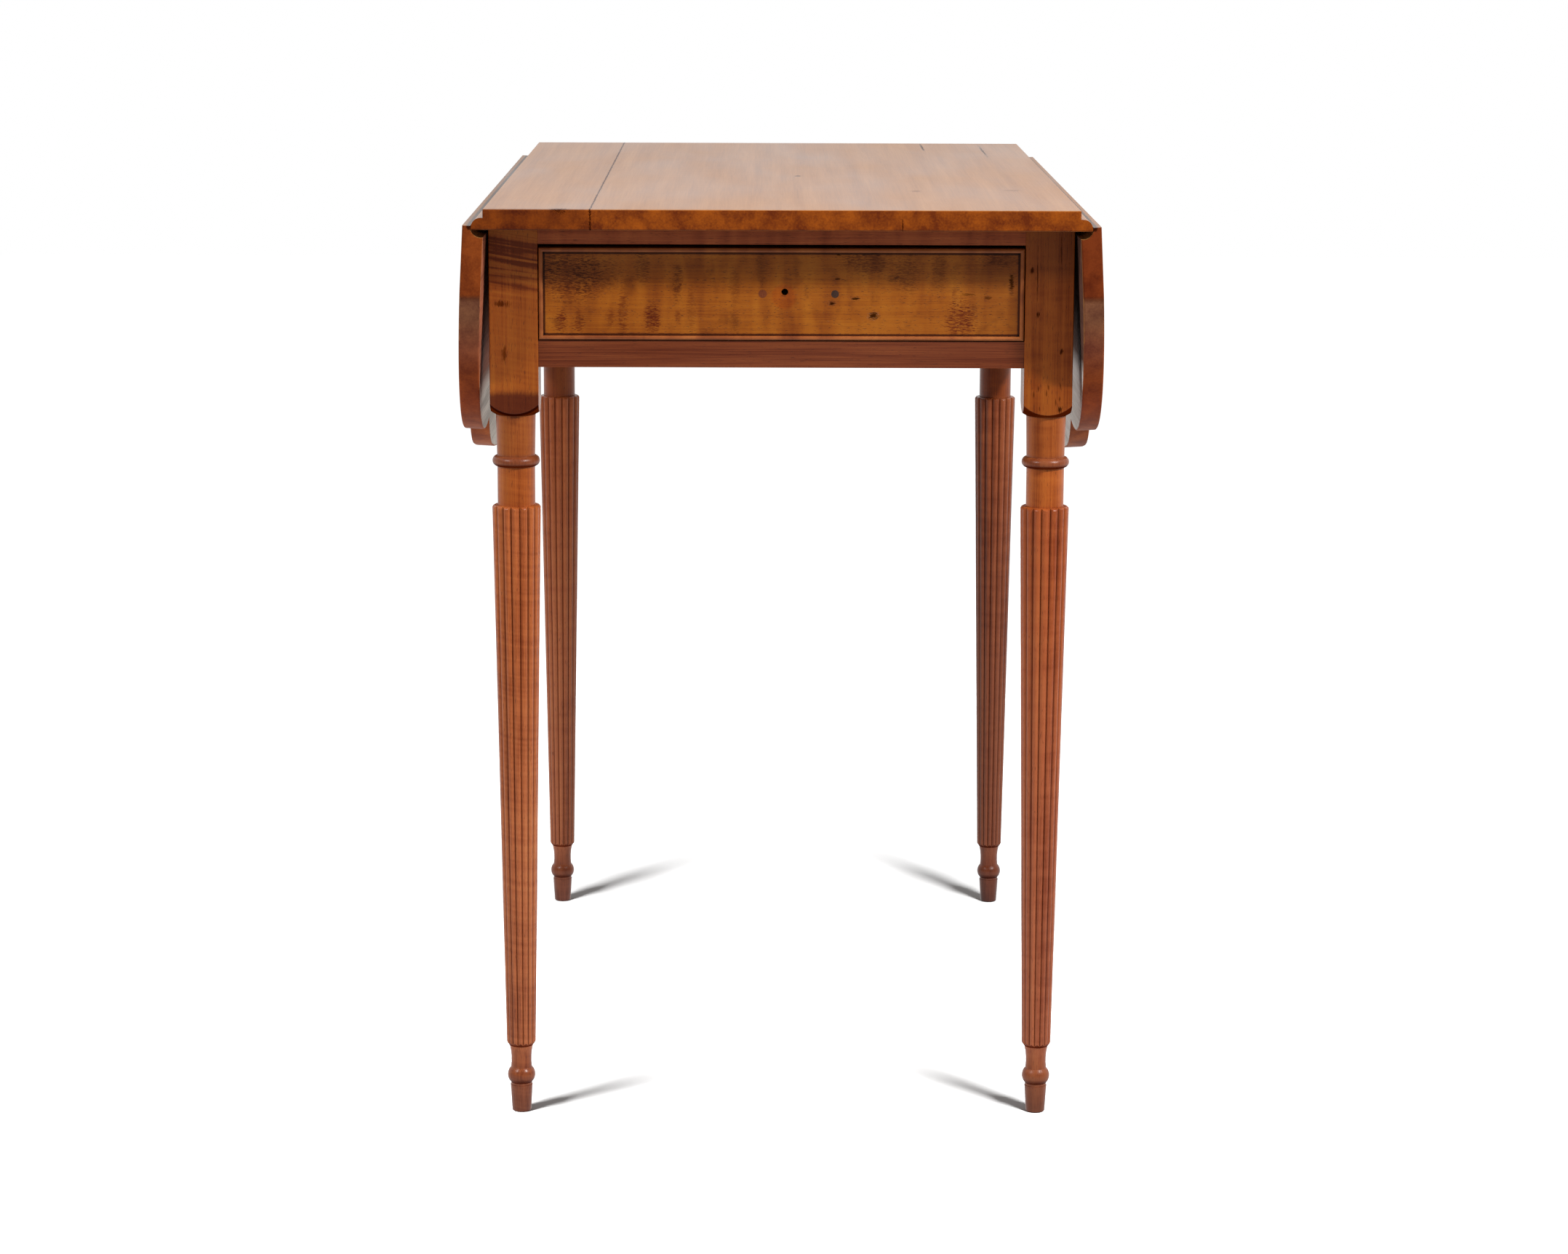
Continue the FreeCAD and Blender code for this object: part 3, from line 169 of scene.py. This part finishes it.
    dents = 0.0
    wobble = node(tree, "MapRange", (layer["pore"], *woodSteps["wobble"], -0.5, 0.5))
    dashes = node(tree, "MapRange", (layer["pore"], *woodSteps["dashes"], 1, markEdge["dash"]))
    for centre, reach, code, amount, depth, *ragged in marks:  # single marks that tint the wood, in mm
        size = {"Location": [c / 1000 for c in centre], "Scale": [r / 1000 for r in reach]}
        local = node(tree, "Mapping", {"Vector": place, **size}, vector_type="TEXTURE")
        away = node(tree, "VectorMath", (local,), out=1, operation="LENGTH")
        torn = ragged[0] if ragged else markEdge["ragged"]
        edge = node(tree, "Math", (wobble, torn, away), operation="MULTIPLY_ADD")
        fade = (markEdge["firm" if ragged else "soft"], markEdge["end"], amount, 0)
        mask = node(tree, "MapRange", (edge, *fade), interpolation_type="SMOOTHSTEP")
        if not (depth or ragged):  # a stain is made of short dashes
            mask = node(tree, "Math", (mask, dashes), operation="MULTIPLY")
        colour = node(tree, "Mix", {0: mask, 6: colour, 7: linear(code)}, **tintMix)
        if depth:  # open wood lies deeper and doesn't shine
            dents = node(tree, "Math", (mask, -depth, dents), operation="MULTIPLY_ADD")
            sheen = node(tree, "Mix", {0: mask, 2: sheen, 3: 0.0})

    if "reeds" in look:  # dirt and painted shade in the valleys between the reeds
        reeds = look["reeds"]
        fromAxis = []
        for axis, centre in enumerate(reeds["centre"]):  # the four legs stand alike about the middle
            side = node(tree, "Math", (spot[axis],), operation="ABSOLUTE")
            fromAxis.append(node(tree, "Math", (side, centre / 1000), operation="SUBTRACT"))
        angle = node(tree, "Math", (fromAxis[1], fromAxis[0]), operation="ARCTAN2")
        count = reeds["count"]
        turn = node(tree, "Math", (angle, count / math.tau, count), operation="MULTIPLY_ADD")
        turn = node(tree, "Math", (turn,), operation="FRACT")
        off = node(tree, "Math", (turn, 0.5), operation="SUBTRACT")
        off = node(tree, "Math", (off,), operation="ABSOLUTE")
        fade = (*woodSteps["valley"], reeds["amount"], 0)
        valley = node(tree, "MapRange", (off, *fade), interpolation_type="SMOOTHSTEP")
        for start, end in (reeds["foot"], reeds["head"]):  # none beyond the reeds' ends
            within = node(tree, "MapRange", (height, start / 1000, end / 1000, 0, 1))
            valley = node(tree, "Math", (valley, within), operation="MULTIPLY")
        colour = node(tree, "Mix", {0: valley, 6: colour, 7: linear(reeds["paintedShadeAndDirt"])}, **coverMix)

    relief = node(tree, "Math", (layer["fibre"], look["relief"], dents), operation="MULTIPLY_ADD")
    relief = node(tree, "Math", (pores, woodShares["pore"], relief), operation="MULTIPLY_ADD")
    bump = node(tree, "Bump", {"Height": relief, **woodBump})
    shine = {"Roughness": rough, "IOR": polishIor, "Specular IOR Level": sheen}
    surface = node(tree, "BsdfPrincipled", {"Base Color": colour, "Normal": bump, **shine})
    node(tree, "OutputMaterial", {"Surface": surface})
    return material


# Birch under old shellac: the top has faded to a pale gold with a soft grazing sheen.
birchTop = {
    "grain": "Y",
    "colours": ("#8c5527", "#a36b38", "#b47d4a"),
    "tone": {"fibre": 0.5, "band": 0.7, "curl": 0.15, "drift": 0.6},
    "pores": 0.3,
    "poreColour": "#5a3318",
    "rim": "Z",
    "rimColours": ("#5f2406", "#94480b"),
    "rimRough": 0.5,
    "rimSheen": 0.15,
    "bare": ("Z", -1, "#7d6247", "#a58a68"),
    "bareRough": 0.8,
    "rough": (0.3, 0.38),
    "sheen": 0.46,
    "relief": 0.06,
}
topMarks = [  # centre and reach in mm, tint, amount, depth, and for a firm mark how ragged its edge is
    ((-145, 0, 724), (0.9, 2000, 60), "#5a2c18", 0.9, 0.5),  # glue line
    ((91, -388, 712), (0.6, 9, 7), "#5a2c18", 0.8, 0.4),  # crack in the front edge
    ((-195, -388, 714), (55, 6, 30), "#d0c4c4", 0.9, 0, 0.3),
    ((15, -38, 724), (3, 9, 4), "#5a4030", 0.7, 0.6),
    ((108, -200, 724), (5, 12, 4), "#a08070", 0.5, 0.3),
    ((185, -190, 724), (8, 10, 4), "#a08070", 0.45, 0.3),
    ((-168, -386, 724), (8, 6, 4), "#705040", 0.8, 0.8),
    ((134, 330, 724), (1.2, 60, 4), "#4a3020", 0.9, 0.6),  # two cracks at the back
    ((188, 280, 724), (1.2, 90, 4), "#4a3020", 0.9, 0.6),
]
topFinish = stainedWood("shellacked birch, faded top", birchTop, topMarks)

# The leaves: the same birch, with a stained edge that carries painted reflection and shade by height, and a
# pale bare face with painted shade toward the joint.
leafSides = {
    "left": {
        "sign": 1,
        "joint": "#b39f77",  # edge near the joint
        "lobe": ("#faeed1", "#f0e0be"),  # edge at the lobes
        "bare": ("#c8c2ba", "#fcf7ee"),
        "dark": (572, 590, "#a8654c"),  # heights in mm between which painted shade darkens the bare face, and its tint
    },
    "right": {
        "sign": -1,
        "joint": "#977d67",
        "lobe": ("#d8ceb4", "#d9cbad"),
        # paler than the left: painted light on this face
        "bare": ("#e0dcd6", "#fffdfa"),
        "dark": (592, 608, "#6a4a40"),
    },
}
leafFinish = {}
for side, leafSide in leafSides.items():
    sign = leafSide["sign"]
    pale, dark, paintedShadeAndDirt = leafSide["dark"]
    low, lobe = leafSide["lobe"]
    joint = leafSide["joint"]
    leafLook = {
        **birchTop,
        "bare": ("X", sign, *leafSide["bare"]),
        "bareTints": [(0, "#ffffff"), (pale, "#ffffff"), (dark, paintedShadeAndDirt), (724, paintedShadeAndDirt)],
        "rim": "X",
        "rimColours": ("#924a2f", "#be6a3f"),
        "rimSheen": 0.04,
        # tints of the edge by height: its tone, with painted reflection in the bluish tints below the kink
        # in the outline and a painted dark line at the kink
        "rimTints": [
            (0, low), (515, low), (545, lobe), (570, "#ddbb9b"), (594, "#d4bb9f"), (615, "#c4c4d9"),
            (640, "#aecbe7"), (655.5, "#aecbe7"), (656.5, "#75685c"), (658, joint), (724, joint),
        ],
        "sheen": 0.2,
        "shift": (3.1 * sign, 0, 0),
    }
    leafMarks = [
        ((-236.4 * sign, 0, 711.7), (2.4, 900, 4), "#5a463c", 0.9, 0, 0.3),  # painted shadow line beside the joint
        ((-241 * sign, -154, 711.7), (5, 0.8, 4), "#6a5648", 0.7, 0.4),
        ((-241 * sign, 118, 711.7), (5, 0.8, 4), "#6a5648", 0.7, 0.4),
    ]
    leafFinish[side] = stainedWood("shellacked birch, leaf " + side, leafLook, leafMarks)


# Birch stained red-brown and polished: legs, whose tone changes from foot to block.
def legZones(
    foot="#a8a0b0", shin="#fdf3ea", calf="#efdabc", lowNeck="#f0d488", ring="#b8a8a0", highNeck="#dcc484"
):
    ankle, block = "#d0beb2", "#c8ad59"
    return [
        (0, foot), (40, ankle), (56, shin), (200, shin), (420, calf), (490, calf),
        (492, lowNeck), (520.5, lowNeck), (521.5, ring), (529, ring),
        (530, highNeck), (560, highNeck), (563, block), (724, block),
    ]


birchLeg = {
    "grain": "Z",
    "colours": ("#8c4420", "#b3683f", "#c27a4c"),
    "tone": {"fibre": 0.6, "band": 0.8, "curl": 0.4, "drift": 0.6},
    "pores": 0.6,
    "poreColour": "#4a2010",
    "zones": legZones(),
    # tint of the painted shade on faces that look down
    "under": "#b0887c",
    "reeds": {
        "centre": (205.5, 333.5),  # mm from the table's middle to a leg's axis
        "count": 16,
        "foot": (54.5, 58.5),  # heights in mm over which the dirt begins, from below and from above
        "head": (490.5, 487.5),
        "amount": 0.6,
        # tint of the dirt and painted shade in the valleys
        "paintedShadeAndDirt": "#5a2814",
    },
    "rough": (0.28, 0.4),
    "sheen": 0.3,
    "relief": 0.25,
}
blockY, blockReach = -352, 6  # front face of the blocks, and how deep a mark goes
leftBlockMarks = [
    ((-214.8, blockY, 648.4), (6.5, blockReach, 3), "#8a7468", 0.85, 1.2),
    ((-212.8, blockY, 609.8), (2.2, blockReach, 6), "#9a8478", 0.85, 1.0),
    ((-205.5, -352.6, 563), (60, 4.2, 19), "#9b809c", 1.0, 0, 0.1),  # dark crescent on the shoulder
]
rightBlockDents = [  # x and z, half width and half height (mm), tint, amount, depth
    (191.6, 675.4, 1.6, 2.6, "#604840", 0.9, 0.6),
    (196, 672, 0.5, 22, "#604840", 0.7, 0.4),
    (214, 689, 0.5, 14, "#604840", 0.6, 0.4),
    (196.7, 641.6, 1.6, 2.6, "#604840", 0.9, 0.6),
    (215.1, 613.2, 1.6, 2.6, "#604840", 0.9, 0.6),
    (214.6, 568.1, 2, 3.4, "#403028", 0.95, 0.8),
]
flecks = [
    (194.3, 579.5), (197.8, 584.2), (204.3, 580.7), (205.5, 585.4),
    (211.4, 573.6), (214.4, 576), (199, 568.9), (214.9, 586.6),
]
rightBlockDents += [(x, z, 0.7, 2.8, "#604840", 0.6, 0.2) for x, z in flecks]
rightBlockMarks = [
    ((x, blockY, z), (wide, blockReach, tall), *rest) for x, z, wide, tall, *rest in rightBlockDents
]
curlyLook = {
    **birchLeg,
    "colours": ("#8c4420", "#bc6e42", "#d08654"),
    "tone": {"fibre": 0.6, "band": 0.6, "curl": 0.34, "drift": 0.5},
    "layers": {"curl": (90, 3.8, 1)},
    "curlLean": 9,
    "curlAbove": (652, 672, 3.0),
    "zones": legZones(shin="#f0e4dc", lowNeck="#dcbe7a", ring="#ac9a94", highNeck="#c8b078"),
}
plainLook = {
    **birchLeg,
    "zones": legZones(foot="#9c949c", shin="#eedcde", calf="#e6c6a6", ring="#c0b0a8"),
}
legFinish = {
    "front_left": stainedWood("polished curly birch, left front leg", curlyLook, leftBlockMarks),
    "front_right": stainedWood("polished birch, right front leg", plainLook, rightBlockMarks),
}
rearLegColoursAndShade = {  # colours, and tints of single lengths; darker than the front legs, partly their own colour and partly painted shade, the right one darkest with painted shade from the leaf
    "left": (
        ("#864222", "#ac633e", "#bc744a"),
        {"lowNeck": "#c8a974"},
    ),
    "right": (
        ("#6f3319", "#935133", "#a4613f"),
        {"lowNeck": "#e1c37d", "calf": "#fff2da", "shin": "#e1d8d0", "foot": "#9a93a2"},
    ),
}
for side, (colours, tints) in rearLegColoursAndShade.items():
    rearLook = {**birchLeg, "colours": colours, "zones": legZones(**tints), "shift": (2, 5, len(side))}
    legFinish["rear_" + side] = stainedWood("polished birch, rear leg " + side, rearLook)

# The same birch in the rails, redder and with plain straight grain.
birchRail = {
    "grain": "X",
    "colours": ("#511d0a", "#6a3016", "#7e401e"),
    "tone": {"fibre": 1.0, "band": 0.8, "drift": 0.5},
    "pores": 0.5,
    "poreColour": "#3a170c",
    "rough": (0.32, 0.45),
    "sheen": 0.3,
    "relief": 0.3,
}
# The upper rail is paler and more golden: partly its own colour, partly painted light against the shade
# under the top.
goldenAndLitUpperRail = {
    **birchRail,
    "colours": ("#6d2a0f", "#974822", "#b25e2e"),
    "tone": {"fibre": 0.6, "band": 0.5, "curl": 0.6, "drift": 0.4},
    "layers": {"curl": (60, 14, 2)},
}
sideRail = {**birchRail, "grain": "Y", "colours": ("#5c2c18", "#7a4526", "#936038")}
railFinish = {
    "upper": stainedWood("polished birch, upper rail", goldenAndLitUpperRail),
    "end": stainedWood("polished birch, drawer rails", birchRail),
    "side": stainedWood("stained birch, side rails", sideRail),
}

# Curly maple: light bands across a golden ground, and dark old stain at the ends.
mapleDrawer = {
    "grain": "X",
    "colours": ("#6a2c07", "#914d0c", "#a96415"),
    "tone": {"fibre": 0.4, "band": 0.3, "curl": 0.65, "drift": 0.4},
    "layers": {"curl": (60, 14, 2), "pore": (0.45, 3, 1)},
    "pores": 0.75,
    "poreColour": "#34150b",
    "clouds": (0.55, 0.7, 0.4),
    "stain": "#a89088",
    "rough": (0.28, 0.4),
    "sheen": 0.3,
    "relief": 0.25,
}
frontY, frontReach = -351, 9  # the drawer's face, and how deep a mark goes
brown, red = "#8c6a70", "#9c6462"  # tints: old stain, raw stain
black, beadShadowLine = "#50464a", "#6a4a44"  # open wood, painted shadow line beside the beads
drawerStainsAndShadowLines = [  # x and z, half width and height (mm), tint, amount, depth, and how ragged a firm edge is
    (1.7, 654.5, 10, 10, "#fcd880", 0.75, 0, 0.15),  # where a pull's plate kept the light off
    (175, 655, 34, 45, "#d8ccc4", 0.8, 0, 0.3),
    (-182.4, 656, 1.4, 400, beadShadowLine, 0.9, 0, 0.3),  # painted shadow lines beside the beads
    (182.4, 656, 1.4, 400, beadShadowLine, 0.9, 0, 0.3),
    (0, 688.2, 2000, 1.4, beadShadowLine, 0.9, 0, 0.3),
    (0, 624.9, 2000, 1.4, beadShadowLine, 0.9, 0, 0.3),
    (-163.5, 670, 24, 20, brown, 0.8, 0),
    (-143, 671, 20, 16, brown, 0.6, 0),
    (-178, 680, 8, 14, brown, 0.6, 0),
    (-169.5, 634.5, 5, 10, red, 0.9, 0),
    (-155.4, 635.4, 4.5, 9, red, 0.8, 0),
    (-131.4, 637.5, 3.5, 8, red, 0.6, 0),
    (-121.6, 641.9, 4, 18, red, 0.7, 0),
    (-99.1, 637.5, 6.5, 13, red, 0.95, 0),
    (-79.6, 639.8, 2.5, 5, red, 0.6, 0),
    (-69.2, 643.4, 4, 18, red, 0.45, 0),
    (-106.6, 677.4, 6, 14, brown, 0.7, 0),
    (-79.6, 665.6, 4, 16, brown, 0.85, 0),
    (-36.2, 662.6, 4.5, 13, brown, 0.45, 0),
    (-36.2, 634.5, 4.5, 10, brown, 0.4, 0),
    (-15.3, 677.4, 5, 14, brown, 0.45, 0),
    (19.2, 658.2, 2.5, 6, brown, 0.45, 0),
    (65.6, 681, 20, 10, brown, 0.7, 0),
    (95.5, 673, 10, 16, brown, 0.6, 0),
    (85, 668.5, 5, 3, black, 0.5, 0),
    (121, 676, 6, 14, brown, 0.6, 0),
    (133, 653.7, 3, 7, red, 0.5, 0),
    (137.4, 638, 12, 15, red, 0.95, 0),
    (158.4, 654.3, 3, 1.5, black, 0.6, 0.2),
    (176.3, 665.6, 2.2, 9, black, 0.85, 0.5),
    (170.4, 683.3, 15, 6, brown, 0.7, 0),
    (143.4, 656.7, 7, 1, black, 0.5, 0.3),
    (38.6, 649.9, 2.8, 2, black, 0.95, 0.8),
    (56.6, 653.4, 3.8, 1.3, black, 0.95, 0.8),
    (70.7, 640.1, 4.4, 3, black, 0.95, 1.0),
    (43.1, 668.5, 3, 1, black, 0.8, 0.5),
    (43.7, 686.9, 2.5, 0.9, black, 0.8, 0.5),
]
drawerMarks = [
    ((x, frontY, z), (wide, frontReach, tall), *rest) for x, z, wide, tall, *rest in drawerStainsAndShadowLines
]
drawerFinish = stainedWood("polished curly maple, drawer front", mapleDrawer, drawerMarks)
beadLook = {**mapleDrawer, "colours": ("#642e1a", "#904e26", "#ae6832"), "clouds": None, "pores": 0.3}
beadFinish = stainedWood("polished maple, cock bead", beadLook)
uprightBead = stainedWood("polished maple, upright cock bead", {**beadLook, "grain": "Z"})

# Pine that was never finished: dry, pale brown, with darker growth bands.
agedPine = {
    "grain": "Y",
    "colours": ("#6e4c2c", "#9a7548", "#b59162"),
    "tone": {"fibre": 0.6, "band": 0.8, "drift": 0.5},
    "pores": 0.2,
    "poreColour": "#4a301a",
    "rough": (0.65, 0.8),
    "sheen": 0.3,
    "relief": 0.6,
}
pineFinish = {
    axis: stainedWood("bare aged pine, grain along " + axis, {**agedPine, "grain": axis}) for axis in "XY"
}

# Wax and sawdust filler in old pull holes: dull, red-brown at the left and nearly black at the right.
fillerLook = {"left": ("#4c1e0c", "#642c10", "#7a3c18"), "right": ("#2c1c16", "#3c2820", "#4c342a")}
fillerFinish = {
    side: stainedWood("hole plug " + side, {**agedPine, "colours": colours, "rough": (0.4, 0.5)})
    for side, colours in fillerLook.items()
}

# Hand-forged iron: nearly black scale with brown rust in the hollows.
ironLook = {
    "grainMm": 2.5,
    "colours": ((0.45, "#2b2624"), (0.68, "#5a3320")),  # scale and rust, by noise
    "rough": (0.3, 0.7, 0.42, 0.7),  # from noise to roughness
    "metallic": 0.75,
    "bump": {"Strength": 0.4, "Distance": 0.0003},
}
wroughtIron = bpy.data.materials.new("wrought iron, dark scale")
wroughtIron.use_nodes = True
tree = wroughtIron.node_tree
tree.nodes.clear()
place = node(tree, "TexCoord", out="Object")
scale = node(tree, "TexNoise", {"Vector": place, "Scale": 1000 / ironLook["grainMm"], "Detail": 5})
rust = node(tree, "ValToRGB", (scale,), stops=ironLook["colours"])
rough = node(tree, "MapRange", (scale, *ironLook["rough"]))
bump = node(tree, "Bump", {"Height": scale, **ironLook["bump"]})
shine = {"Metallic": ironLook["metallic"], "Roughness": rough}
iron = node(tree, "BsdfPrincipled", {"Base Color": rust, "Normal": bump, **shine})
node(tree, "OutputMaterial", {"Surface": iron})
print("materials made:", len(bpy.data.materials))

finishes = {  # by how a node's name starts; the first that fits holds
    "top_wide_board": topFinish,
    "top_narrow_board": topFinish,
    "leaf_left": leafFinish["left"],
    "leaf_right": leafFinish["right"],
    **{"leg_" + name: finish for name, finish in legFinish.items()},
    "drawer_rail_top": railFinish["upper"],
    "drawer_rail": railFinish["end"],
    "back_rail": railFinish["end"],
    "side_rail": railFinish["side"],
    "fly_rail_screws": wroughtIron,
    "fly_pin": wroughtIron,
    "fly": railFinish["side"],
    "drawer_front": drawerFinish,
    "cock_bead_top": beadFinish,
    "cock_bead_bottom": beadFinish,
    "cock_bead": uprightBead,
    "pull_plug_left": fillerFinish["left"],
    "pull_plug_right": fillerFinish["right"],
    "drawer_bottom_nails": wroughtIron,
    "drawer_bottom": pineFinish["X"],
    "drawer_back": pineFinish["X"],
    "drawer": pineFinish["Y"],
    "glue_blocks": pineFinish["X"],
    "hinge": wroughtIron,
    "top_screws": wroughtIron,
}
for name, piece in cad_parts.items():
    finish = next(finishes[start] for start in finishes if name.startswith(start))
    for slot in piece.material_slots:
        slot.material = finish
print("finishes set on", len(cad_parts), "nodes")

# Seamless white paper in two halves, each lit by its own lamp, so that every foot keeps one soft shadow.
floorLook = {
    "reach": 14,  # metres across
    "paper": "#bebebe",
    "bounce": 0.6,  # strength in light that the paper throws back
    "dim": 0.08,  # strength in reflections on the camera's side
    "fadeY": (-1.7, -0.5),  # metres, between which reflections of the paper turn white
    "foot": (0.2055, 0.3335, 0),  # metres from the middle to each foot
    "fade": [  # glow by mm from a foot, which washes shadows out
        (0, "#000000"), (60, "#000000"), (110, "#6c6c6c"), (170, "#a8a8a8"), (380, "#e4e4e4"),
    ],
}
white = (1, 1, 1, 1)
paper = bpy.data.materials.new("white seamless paper")
paper.use_nodes = True
tree = paper.node_tree
tree.nodes.clear()
seen = node(tree, "LightPath", out="Is Camera Ray")
glossy = node(tree, "LightPath", out="Is Glossy Ray")
for kind in ("Is Glossy Ray", "Is Transmission Ray"):
    seen = node(tree, "Math", (seen, node(tree, "LightPath", out=kind)), operation="MAXIMUM")
matt = node(tree, "BsdfDiffuse", {"Color": linear(floorLook["paper"])})
spot = node(tree, "TexCoord", out="Object")
away = node(tree, "VectorMath", (spot,), operation="ABSOLUTE")
away = node(tree, "VectorMath", (away, floorLook["foot"]), out=1, operation="DISTANCE")
glow = node(tree, "Emission", {"Color": rampOf(tree, away, floorLook["fade"]), "Strength": 1})
sheet = node(tree, "AddShader", (matt, glow))
along = node(tree, "SeparateXYZ", (spot,), out=1)
fade = (*floorLook["fadeY"], floorLook["dim"], 1)
level = node(tree, "MapRange", (along, *fade), interpolation_type="SMOOTHSTEP")
mirrored = node(tree, "Emission", {"Color": white, "Strength": level})
bounced = node(tree, "Emission", {"Color": white, "Strength": floorLook["bounce"]})
sheet = node(tree, "MixShader", (glossy, sheet, mirrored))
node(tree, "OutputMaterial", {"Surface": node(tree, "MixShader", (seen, bounced, sheet))})
floors = {}
for side, sign in (("left", -1), ("right", 1)):
    half = floorLook["reach"] / 2
    corners = [(0, -half, 0), (sign * half, -half, 0), (sign * half, half, 0), (0, half, 0)]
    sheetMesh = bpy.data.meshes.new("floor " + side)
    sheetMesh.from_pydata(corners, [], [(0, 1, 2, 3)[::sign]])
    floors[side] = bpy.data.objects.new("floor " + side, sheetMesh)
    floors[side].data.materials.append(paper)
    scene.collection.objects.link(floors[side])

# White all round for the camera; in reflections the room on the camera's side is dim.
roomLook = {"ambient": 0.42, "dim": 0.1, "sweep": (-0.35, 0.25)}  # sweep: from the camera's side to the back
world = bpy.data.worlds.new("white room")
scene.world = world
world.use_nodes = True
tree = world.node_tree
tree.nodes.clear()
seen = node(tree, "LightPath", out="Is Camera Ray")
through = node(tree, "LightPath", out="Is Transmission Ray")
seen = node(tree, "Math", (seen, through), operation="MAXIMUM")
toward = node(tree, "SeparateXYZ", (node(tree, "TexCoord", out="Generated"),), out=1)
fade = (*roomLook["sweep"], roomLook["dim"], 1)
sweep = node(tree, "MapRange", (toward, *fade), interpolation_type="SMOOTHSTEP")
glossy = node(tree, "LightPath", out="Is Glossy Ray")
level = node(tree, "Mix", {0: glossy, 2: roomLook["ambient"], 3: sweep})
level = node(tree, "Mix", {0: seen, 2: level, 3: 1.0})
back = node(tree, "Background", {"Color": white, "Strength": level})
node(tree, "OutputWorld", {"Surface": back})
print("floor and room set")

# Soft lamps right and left of the camera, and one for each half of the paper.
aim = Vector((0, -0.35, 0.62))
lamps = {  # degrees right of the camera, degrees up, metres away, metres across, share of a full light
    "key": (56.5, 35.5, 2.5, 0.24, 0.985),
    "fill": (-52, 35, 3.0, 0.5, 0.44),
    "paperRight": (42.8, 23.5, 2.24, 0.75, 5.9),
    "paperLeft": (-52.2, 21.6, 2.05, 0.75, 5.9),
}
boardNames = ("top_wide_board", "top_narrow_board", "leaf_left", "leaf_right")
boards = [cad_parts[name] for name in boardNames]
notTurned = [*floors.values(), *boards]
lampRows = {  # the lamp, whether it shows in reflections, and the pieces that it lights or leaves out
    "key on turned wood": ("key", True, notTurned, "EXCLUDE"),
    "key on boards": ("key", False, boards, "INCLUDE"),  # no glare on the broad boards
    "fill on turned wood": ("fill", True, notTurned, "EXCLUDE"),
    "fill on boards": ("fill", False, boards, "INCLUDE"),
    "right paper lamp": ("paperRight", False, [floors["right"]], "INCLUDE"),
    "left paper lamp": ("paperLeft", False, [floors["left"]], "INCLUDE"),
}
for name, (kind, shows, pieces, state) in lampRows.items():
    turn, rise, away, across, share = lamps[kind]
    data = bpy.data.lights.new(name, "AREA")
    data.shape = "DISK"
    data.size = across
    data.energy = share * (math.pi * away) ** 2  # at a share of 1, white that faces the lamp is white
    lamp = bpy.data.objects.new(name, data)
    scene.collection.objects.link(lamp)
    turn, rise = math.radians(turn), math.radians(rise)
    level = math.cos(rise)
    toward = Vector((math.sin(turn) * level, -math.cos(turn) * level, math.sin(rise)))
    lamp.location = aim + toward * away
    lamp.rotation_euler = toward.to_track_quat("Z", "Y").to_euler()
    lamp.visible_glossy = shows
    lit = bpy.data.collections.new("pieces of " + name)
    for piece in pieces:
        lit.objects.link(piece)
    for linked in lit.collection_objects:
        linked.light_linking.link_state = state
    lamp.light_linking.receiver_collection = lit
print("lamps set:", len(lampRows))

# The photograph's camera: a long lens, a little above the top and tipped down.
cameraLook = {
    "place": (-0.01657, -3.38949, 0.96862),  # metres
    "pitch": 10.652,  # degrees
    "yaw": -0.3656,
    "roll": 0.2135,
    "lens": 91.187,  # mm
    "sensor": 36,
    "clipEnd": 100,  # metres
}
cameraData = bpy.data.cameras.new("camera")
cameraData.sensor_fit = "HORIZONTAL"
cameraData.sensor_width = cameraLook["sensor"]
cameraData.lens = cameraLook["lens"]
cameraData.clip_end = cameraLook["clipEnd"]
camera = bpy.data.objects.new("camera", cameraData)
scene.collection.objects.link(camera)
camera.matrix_world = (
    Matrix.Translation(cameraLook["place"])
    @ Matrix.Rotation(math.radians(cameraLook["yaw"]), 4, "Z")
    @ Matrix.Rotation(math.radians(90 - cameraLook["pitch"]), 4, "X")
    @ Matrix.Rotation(math.radians(cameraLook["roll"]), 4, "Z")
)
scene.camera = camera
print("camera set")
